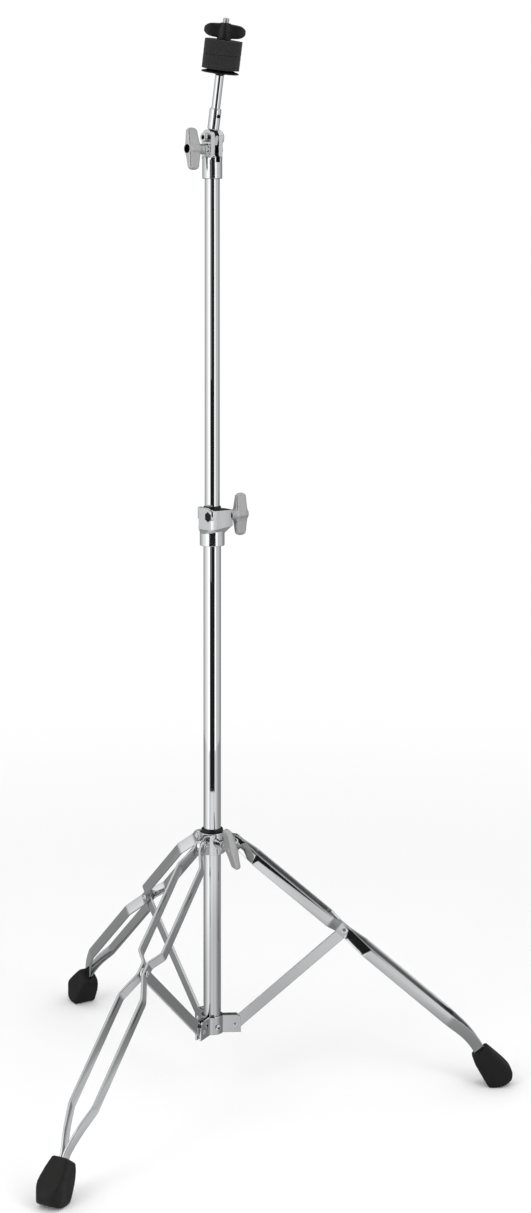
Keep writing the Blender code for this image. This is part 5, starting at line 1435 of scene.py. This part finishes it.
def threaded_end(sizes):
    """The rod's threaded end: a real helix, crossed with a chamfered bar that cuts its crests flat."""
    pitch = sizes.thread_pitch
    root = THREAD_RADIUS - THREAD_DEPTH
    start, end = ROD_SHOULDER - 4 * pitch, ROD_TIP + 3 * pitch
    turns = round((end - start) / pitch)
    crest = THREAD_RADIUS + 0.0003
    thread = chain("threaded_end", [(root, 0, start), (crest, 0, start + 0.5 * pitch), (root, 0, start + pitch)])
    leave()
    modify(thread, "SCREW", angle=math.tau, screw_offset=pitch, iterations=turns, steps=36, render_steps=36,
           use_merge_vertices=True, merge_threshold=1e-6)
    edit(thread)
    for low, high in ((start - pitch, start + 1.5 * pitch), (end - 1.5 * pitch, end + 3 * pitch)):
        bpy.ops.mesh.select_mode(type="EDGE")
        bpy.ops.mesh.select_all(action="DESELECT")
        shape = bmesh.from_edit_mesh(thread.data)
        for edge in shape.edges:
            edge.select = edge.is_boundary and all(low < vert.co.z < high for vert in edge.verts)
        shape.select_flush_mode()
        bmesh.update_edit_mesh(thread.data)
        bpy.ops.mesh.extrude_region_move(TRANSFORM_OT_translate={"value": (0, 0, 0)})
        bpy.ops.mesh.merge(type="CENTER")
    leave()
    outward(thread)
    profile = [(0, ROD_SHOULDER - 0.002), (THREAD_RADIUS, ROD_SHOULDER - 0.002), (THREAD_RADIUS, ROD_TIP - 0.0008),
               (THREAD_RADIUS - 0.0009, ROD_TIP), (0, ROD_TIP)]
    return combined(thread, lathe("core", profile, 64), "INTERSECT")


class STAND_OT_rod(bpy.types.Operator):
    """Model the cymbal rod with its shoulder and threaded end"""

    bl_idname = "cymbal_stand.rod"
    bl_label = "Cymbal rod"

    def execute(self, context):
        sizes = context.scene.stand_sizes
        rod = lathe("cymbal_rod_steel", [(0, ROD_START), (ROD_RADIUS - 0.0005, ROD_START),
                                         (ROD_RADIUS, ROD_START + 0.0005), (ROD_RADIUS, ROD_SHOULDER - 0.0006),
                                         (ROD_RADIUS - 0.0006, ROD_SHOULDER), (0, ROD_SHOULDER)], 96)
        joined(rod, threaded_end(sizes))
        rod = placed(smooth(rod, 30), ARM_PLACE)
        dressed(context, rod, "arm", "cymbal_rod", "tube")
        return {"FINISHED"}


def felt_pattern(sizes):
    """A felt disc with soft, slightly uneven sides."""
    bore = THREAD_RADIUS + GAP + SLEEVE_WALL + GAP
    radius, height, edge = sizes.felt_radius - 0.0003, sizes.felt_height, 0.0005
    profile = [(bore, 0.0002), (bore + (radius - bore) * 0.5, 0.0001), (radius - edge, 0)]
    profile += arc((radius - edge, edge), edge, -60, 0, 4)
    profile += [(radius, edge + (height - 2 * edge) * part / 14) for part in range(1, 14)]
    profile += arc((radius - edge, height - edge), edge, 0, 90, 5)
    profile += [(bore + (radius - bore) * 0.5, height - 0.0001), (bore, height - 0.0002)]
    felt = lathe("felt_pattern", profile, 160, closed=True)
    wool = bpy.data.textures.new("wool", "CLOUDS")
    wool.noise_scale = 0.0025
    wool.noise_depth = 3
    modify(felt, "DISPLACE", texture=wool, texture_coords="LOCAL", strength=0.0006, mid_level=0.5)
    return smooth(felt, 60)


def top_nut_pattern(sizes):
    """The black plastic wing nut along Z, with low wings along X."""
    half, height = sizes.top_wing_span / 2, TOP_NUT_HEIGHT
    root_depth, root_centre = height * 0.9, height * 0.52
    stations = [(-0.002, root_depth, TOP_WING_ROOT, root_centre)]
    for share in (0.2, 0.32, 0.45, 0.6, 0.72, 0.82, 0.89, 0.94, 0.98, 1.0):
        blend = max(share - 0.2, 0.0) / 0.8
        close = math.sqrt(max(1 - (max(share - 0.62, 0.0) / 0.4) ** 2, 0.05))
        stations.append((share * half, (root_depth + (TOP_WING_TIP_DEPTH - root_depth) * blend ** 0.8) * close,
                         (TOP_WING_ROOT + (TOP_WING_TIP - TOP_WING_ROOT) * blend) * close,
                         root_centre + (TOP_WING_TIP_CENTRE - root_centre) * blend))
    nut = lathe("top_nut_wings", [(0, 0), (TOP_NUT_HUB, 0), (TOP_NUT_HUB, height * 0.55), (TOP_NUT_HUB * 0.72, height),
                                  (0, height)], 64)
    one = wing("wing_one", stations)
    other = mirrored(one, "wing_other", 0)
    joined(nut, one)
    joined(nut, other)
    cast(nut, 0.0003, 8)
    cut(nut, bar("thread", THREAD_RADIUS + GAP, -height, height * 2, 48))
    return smooth(nut, 40)


class STAND_OT_cymbal_mount(bpy.types.Operator):
    """Model the seat, the sleeve, the two felts and the plastic wing nut on the rod"""

    bl_idname = "cymbal_stand.cymbal_mount"
    bl_label = "Seat, felts and top nut"

    def execute(self, context):
        sizes = context.scene.stand_sizes
        clear = THREAD_RADIUS + GAP
        rim = SEAT_BOTTOM + SEAT_DROP
        radius = sizes.seat_radius
        profile = [(clear, SEAT_BOTTOM), (SEAT_HUB - 0.0005, SEAT_BOTTOM), (SEAT_HUB, SEAT_BOTTOM + 0.0005),
                   (SEAT_HUB, rim - 0.0004), (SEAT_HUB + 0.0004, rim), (radius - 0.0009, rim)]
        profile += arc((radius - 0.0009, rim + 0.0009), 0.0009, -60, 30, 5)
        profile += [(radius * 0.93, rim + 0.85 * SEAT_RIM), (radius * 0.86, rim + SEAT_RIM), (SEAT_DOME_RADIUS + 0.003, SEAT_TOP - 0.0007),
                    (SEAT_DOME_RADIUS, SEAT_TOP), (clear, SEAT_TOP)]
        seat = placed(smooth(lathe("cymbal_cup", profile, 128, closed=True), 40), ARM_PLACE)
        dressed(context, seat, "arm", "cymbal_seat", "plastic")
        bottom = SEAT_TOP + GAP
        profile = rounded_ring(clear, clear + SLEEVE_WALL, bottom, bottom + 0.031, 0.0002)
        sleeve = placed(smooth(lathe("nylon_sleeve", profile, 64, closed=True), 40), ARM_PLACE)
        dressed(context, sleeve, "arm", "cymbal_sleeve", "nylon")
        felt = felt_pattern(sizes)
        upper = bottom + sizes.felt_height + GAP
        for name, height, body, node_name, spin in (("wool_felt_lower", bottom, "arm", "lower_felt", 0),
                                                    ("wool_felt_upper", upper, "top_felt", "upper_felt", 137)):
            made = placed(copied(felt, name), ARM_PLACE @ shift(0, 0, height) @ turn(spin, "Z"))
            dressed(context, made, body, node_name, "felt")
        removed(felt)
        top = upper + sizes.felt_height + GAP
        nut = placed(top_nut_pattern(sizes), ARM_PLACE @ shift(0, 0, top) @ turn(TOP_NUT_TURN, "Z"))
        dressed(context, nut, "top_nut", "top_wing_nut", "plastic")
        return {"FINISHED"}


# Stage


CAMERA_PLACE = (-0.1242, -2.622, 1.064)
CAMERA_PITCH = -0.13
CAMERA_YAW = 2.25
CAMERA_LENS = 61.41
CAMERA_SHIFT = -0.3
CARD_STRENGTH = 2.0
FLOOR_NEAR = 0.27
FLOOR_FAR = 0.58
FLOOR_SHEEN = 0.76

# What chrome sees of the floor, as stops of (azimuth, level)
FLOOR_LEVELS = ((-180.0, 0.35), (-120.0, 0.4), (-98.0, 0.75), (-80.0, 1.1), (-64.0, 1.3), (-49.0, 1.6), (-35.0, 0.95),
                (-22.0, 0.85), (-9.0, 1.15), (4.0, 1.1), (14.0, 0.93), (30.0, 1.0), (43.0, 1.05), (58.0, 0.8),
                (73.0, 0.58), (92.0, 0.4), (180.0, 0.35))

# Cards of the light tent, as name, distance, bottom, top and stops of (azimuth, level)
CARDS = (
    ("card_softbox_left", 2.2, 0.0, 2.6, ((-58.0, 1.8), (-31.0, 1.8))),
    ("card_softbox_right", 2.2, 0.0, 2.6, ((31.0, 1.7), (50.0, 1.6))),
    ("card_tent_left", 2.25, 0.0, 2.6, ((-165.0, 0.25), (-124.0, 0.65), (-100.0, 0.95), (-81.0, 1.2), (-58.0, 1.4))),
    ("card_tent_right", 2.25, 0.0, 2.6, ((50.0, 1.1), (61.0, 0.75), (74.0, 0.85), (96.0, 0.72), (119.0, 0.38), (165.0, 0.25))),
    ("card_front", 1.35, 0.0, 2.6, ((-30.0, 0.02), (31.0, 0.02))),
    ("card_front_grey", 1.33, 0.85, 2.6, ((-28.0, 0.25), (-7.0, 0.2))),
    ("card_back", 2.1, 0.28, 2.6, ((165.0, 0.04), (195.0, 0.04))),
)


def level_round(tree, place, stops):
    """Nodes for a level that changes with the azimuth round the stand. The level comes divided by CARD_STRENGTH."""
    across, up = place
    start, end = stops[0][0], stops[-1][0]
    coords = node(tree, "ShaderNodeTexCoord", (across, up))
    parts = node(tree, "ShaderNodeSeparateXYZ", (across + 200, up), links={0: coords.outputs["Object"]})
    right = node(tree, "ShaderNodeMath", (across + 400, up + 100), {1: AXIS_X}, {0: parts.outputs["X"]},
                 operation="SUBTRACT")
    near = node(tree, "ShaderNodeMath", (across + 400, up - 100), {1: -1.0}, {0: parts.outputs["Y"]},
                operation="MULTIPLY")
    azimuth = node(tree, "ShaderNodeMath", (across + 600, up),
                   links={0: right.outputs["Value"], 1: near.outputs["Value"]}, operation="ARCTAN2")
    share = node(tree, "ShaderNodeMapRange", (across + 750, up),
                 {"From Min": math.radians(start), "From Max": math.radians(end)},
                 {"Value": azimuth.outputs["Value"]})
    ramp = node(tree, "ShaderNodeValToRGB", (across + 900, up), links={"Fac": share.outputs["Result"]})
    elements = ramp.color_ramp.elements
    for angle, level in stops[1:-1]:
        elements.new((angle - start) / (end - start))
    for element, (angle, level) in zip(elements, stops):
        element.color = (level / CARD_STRENGTH, level / CARD_STRENGTH, level / CARD_STRENGTH, 1.0)
    return ramp


def card_material(name, stops):
    """A card of the light tent."""
    made = blank(name)
    tree = made.node_tree
    ramp = level_round(tree, (-1200, 0), stops)
    shader = node(tree, "ShaderNodeEmission", (0, 0), {"Strength": CARD_STRENGTH}, {"Color": ramp.outputs["Color"]})
    node(tree, "ShaderNodeOutputMaterial", (200, 0), links={"Surface": shader.outputs["Emission"]})
    return made


def tent_card(name, distance, bottom, top, stops):
    """An upright curved card round the stand that only chrome sees."""
    start, end = stops[0][0], stops[-1][0]
    points = []
    steps = max(2, round((end - start) / 5))
    for index in range(steps + 1):
        angle = math.radians(start + (end - start) * index / steps)
        points.append((AXIS_X + distance * math.sin(angle), -distance * math.cos(angle), bottom))
    card = chain(name, points)
    bpy.ops.mesh.select_all(action="SELECT")
    bpy.ops.mesh.extrude_region_move(TRANSFORM_OT_translate={"value": (0, 0, top - bottom)})
    leave()
    card.data.materials.append(card_material(name, stops))
    card.visible_camera = False
    card.visible_diffuse = False
    card.visible_shadow = False
    card.visible_transmission = False
    card.visible_volume_scatter = False
    return card


def floor_material(colours):
    """Matt white floor that runs out into the white background. Chrome sees it a little greyer near the stand."""
    made = blank("matt_floor")
    tree = made.node_tree
    coords = node(tree, "ShaderNodeTexCoord", (-1400, 0))
    distance = node(tree, "ShaderNodeVectorMath", (-1200, 0), links={0: coords.outputs["Object"]},
                    operation="LENGTH")
    far = node(tree, "ShaderNodeMapRange", (-1000, 0), {"From Min": 0.6, "From Max": 2.2},
               {"Value": distance.outputs["Value"]}, interpolation_type="SMOOTHSTEP")
    path = node(tree, "ShaderNodeLightPath", (-1200, -250))
    share = node(tree, "ShaderNodeMath", (-800, 0),
                 links={0: far.outputs["Result"], 1: path.outputs["Is Camera Ray"]}, operation="MULTIPLY")
    matt = node(tree, "ShaderNodeBsdfPrincipled", (-800, 300),
                {"Base Color": (*colours.floor, 1.0), "Roughness": 0.9, "Specular IOR Level": 0.1})
    white = node(tree, "ShaderNodeEmission", (-800, -150), {"Color": (1.0, 1.0, 1.0, 1.0), "Strength": 1.0})
    seen = node(tree, "ShaderNodeMixShader", (-500, 150),
                links={0: share.outputs["Value"], 1: matt.outputs["BSDF"], 2: white.outputs["Emission"]})
    level = node(tree, "ShaderNodeMapRange", (-1000, -350),
                 {"From Min": FLOOR_NEAR, "From Max": FLOOR_FAR, "To Min": FLOOR_SHEEN * CARD_STRENGTH,
                  "To Max": CARD_STRENGTH},
                 {"Value": distance.outputs["Value"]}, interpolation_type="SMOOTHSTEP")
    ramp = level_round(tree, (-1800, -700), FLOOR_LEVELS)
    mirrored_floor = node(tree, "ShaderNodeEmission", (-500, -350),
                          links={"Color": ramp.outputs["Color"], "Strength": level.outputs["Result"]})
    mixed = node(tree, "ShaderNodeMixShader", (-150, 0),
                 links={0: path.outputs["Is Glossy Ray"], 1: seen.outputs["Shader"],
                        2: mirrored_floor.outputs["Emission"]})
    node(tree, "ShaderNodeOutputMaterial", (150, 0), links={"Surface": mixed.outputs["Shader"]})
    return made


def studio_world(scene):
    """White to the eye and in reflections, and a softer fill light on matt surfaces."""
    world = bpy.data.worlds.new("studio")
    world.use_nodes = True
    scene.world = world
    tree = world.node_tree
    tree.nodes.clear()
    path = node(tree, "ShaderNodeLightPath", (-800, 0))
    seen = node(tree, "ShaderNodeMath", (-600, 0),
                links={0: path.outputs["Is Camera Ray"], 1: path.outputs["Is Glossy Ray"]}, operation="MAXIMUM")
    shown = node(tree, "ShaderNodeMath", (-400, 0),
                 links={0: seen.outputs["Value"], 1: path.outputs["Is Transmission Ray"]}, operation="MAXIMUM")
    fill = node(tree, "ShaderNodeBackground", (-400, 200), {"Color": (1.0, 1.0, 1.0, 1.0), "Strength": 0.88})
    white = node(tree, "ShaderNodeBackground", (-400, -200), {"Color": (1.0, 1.0, 1.0, 1.0), "Strength": 1.0})
    mixed = node(tree, "ShaderNodeMixShader", (-150, 0),
                 links={0: shown.outputs["Value"], 1: fill.outputs["Background"], 2: white.outputs["Background"]})
    node(tree, "ShaderNodeOutputWorld", (150, 0), links={"Surface": mixed.outputs["Shader"]})


def softbox(name, azimuth, distance, height, size, power):
    """A soft area lamp that faces the stand."""
    angle = math.radians(azimuth)
    place = Vector((AXIS_X + distance * math.sin(angle), -distance * math.cos(angle), height))
    facing = (Vector((AXIS_X, 0, 0.65)) - place).to_track_quat("-Z", "Y").to_euler()
    bpy.ops.object.light_add(type="AREA", location=place, rotation=facing)
    lamp = bpy.context.active_object
    lamp.name = name
    lamp.data.shape = "RECTANGLE"
    lamp.data.size, lamp.data.size_y = size
    lamp.data.energy = power
    lamp.visible_camera = False
    lamp.visible_glossy = False
    return lamp


class STAND_OT_stage(bpy.types.Operator):
    """Set up the floor, the background, the lamps, the light tent's cards and the camera"""

    bl_idname = "cymbal_stand.stage"
    bl_label = "Stage"

    def execute(self, context):
        scene = context.scene
        scene.view_settings.view_transform = "Standard"
        bpy.ops.object.select_all(action="DESELECT")
        bpy.ops.mesh.primitive_circle_add(vertices=96, radius=8.0, fill_type="NGON", location=(0, 0, -0.0002))
        floor = named(bpy.context.active_object, "studio_floor")
        bpy.ops.object.transform_apply(location=True, rotation=True, scale=True)
        floor.data.materials.append(floor_material(scene.stand_colours))
        studio_world(scene)
        softbox("softbox_left", -44.0, 2.1, 1.15, (0.85, 2.6), 18.0)
        softbox("softbox_right", 42.0, 2.1, 1.25, (0.6, 2.4), 14.0)
        for name, distance, bottom, top, stops in CARDS:
            tent_card(name, distance, bottom, top, stops)
        bpy.ops.object.camera_add(location=CAMERA_PLACE,
                                  rotation=(math.radians(90 - CAMERA_PITCH), 0, math.radians(-CAMERA_YAW)))
        camera = bpy.context.active_object
        camera.data.lens = CAMERA_LENS
        camera.data.shift_y = CAMERA_SHIFT
        scene.camera = camera
        return {"FINISHED"}


OPERATORS = (STAND_OT_stage, STAND_OT_tubes, STAND_OT_bracket, STAND_OT_collar, STAND_OT_legs, STAND_OT_braces,
             STAND_OT_height_clamp, STAND_OT_tilter, STAND_OT_rod, STAND_OT_cymbal_mount)


class STAND_PT_panel(bpy.types.Panel):
    """Lists the pieces of the stand in the sidebar."""

    bl_idname = "STAND_PT_panel"
    bl_label = "Cymbal Stand"
    bl_space_type = "VIEW_3D"
    bl_region_type = "UI"
    bl_category = "Cymbal Stand"

    def draw(self, context):
        layout = self.layout
        for operator in OPERATORS:
            layout.operator(operator.bl_idname)
        for group in (context.scene.stand_sizes, context.scene.stand_colours):
            box = layout.box()
            for name in group.bl_rna.properties.keys():
                if name not in ("rna_type", "name"):
                    box.prop(group, name)


CLASSES = (StandSizes, StandColours) + OPERATORS + (STAND_PT_panel,)


def register():
    for item in CLASSES:
        bpy.utils.register_class(item)
    bpy.types.Scene.stand_sizes = PointerProperty(type=StandSizes)
    bpy.types.Scene.stand_colours = PointerProperty(type=StandColours)


def unregister():
    del bpy.types.Scene.stand_colours
    del bpy.types.Scene.stand_sizes
    for item in reversed(CLASSES):
        bpy.utils.unregister_class(item)


def main():
    register()
    bpy.ops.cymbal_stand.stage()
    bpy.ops.cymbal_stand.tubes()
    bpy.ops.cymbal_stand.bracket()
    bpy.ops.cymbal_stand.collar()
    bpy.ops.cymbal_stand.legs()
    bpy.ops.cymbal_stand.braces()
    bpy.ops.cymbal_stand.height_clamp()
    bpy.ops.cymbal_stand.tilter()
    bpy.ops.cymbal_stand.rod()
    bpy.ops.cymbal_stand.cymbal_mount()


if __name__ == "__main__":
    main()
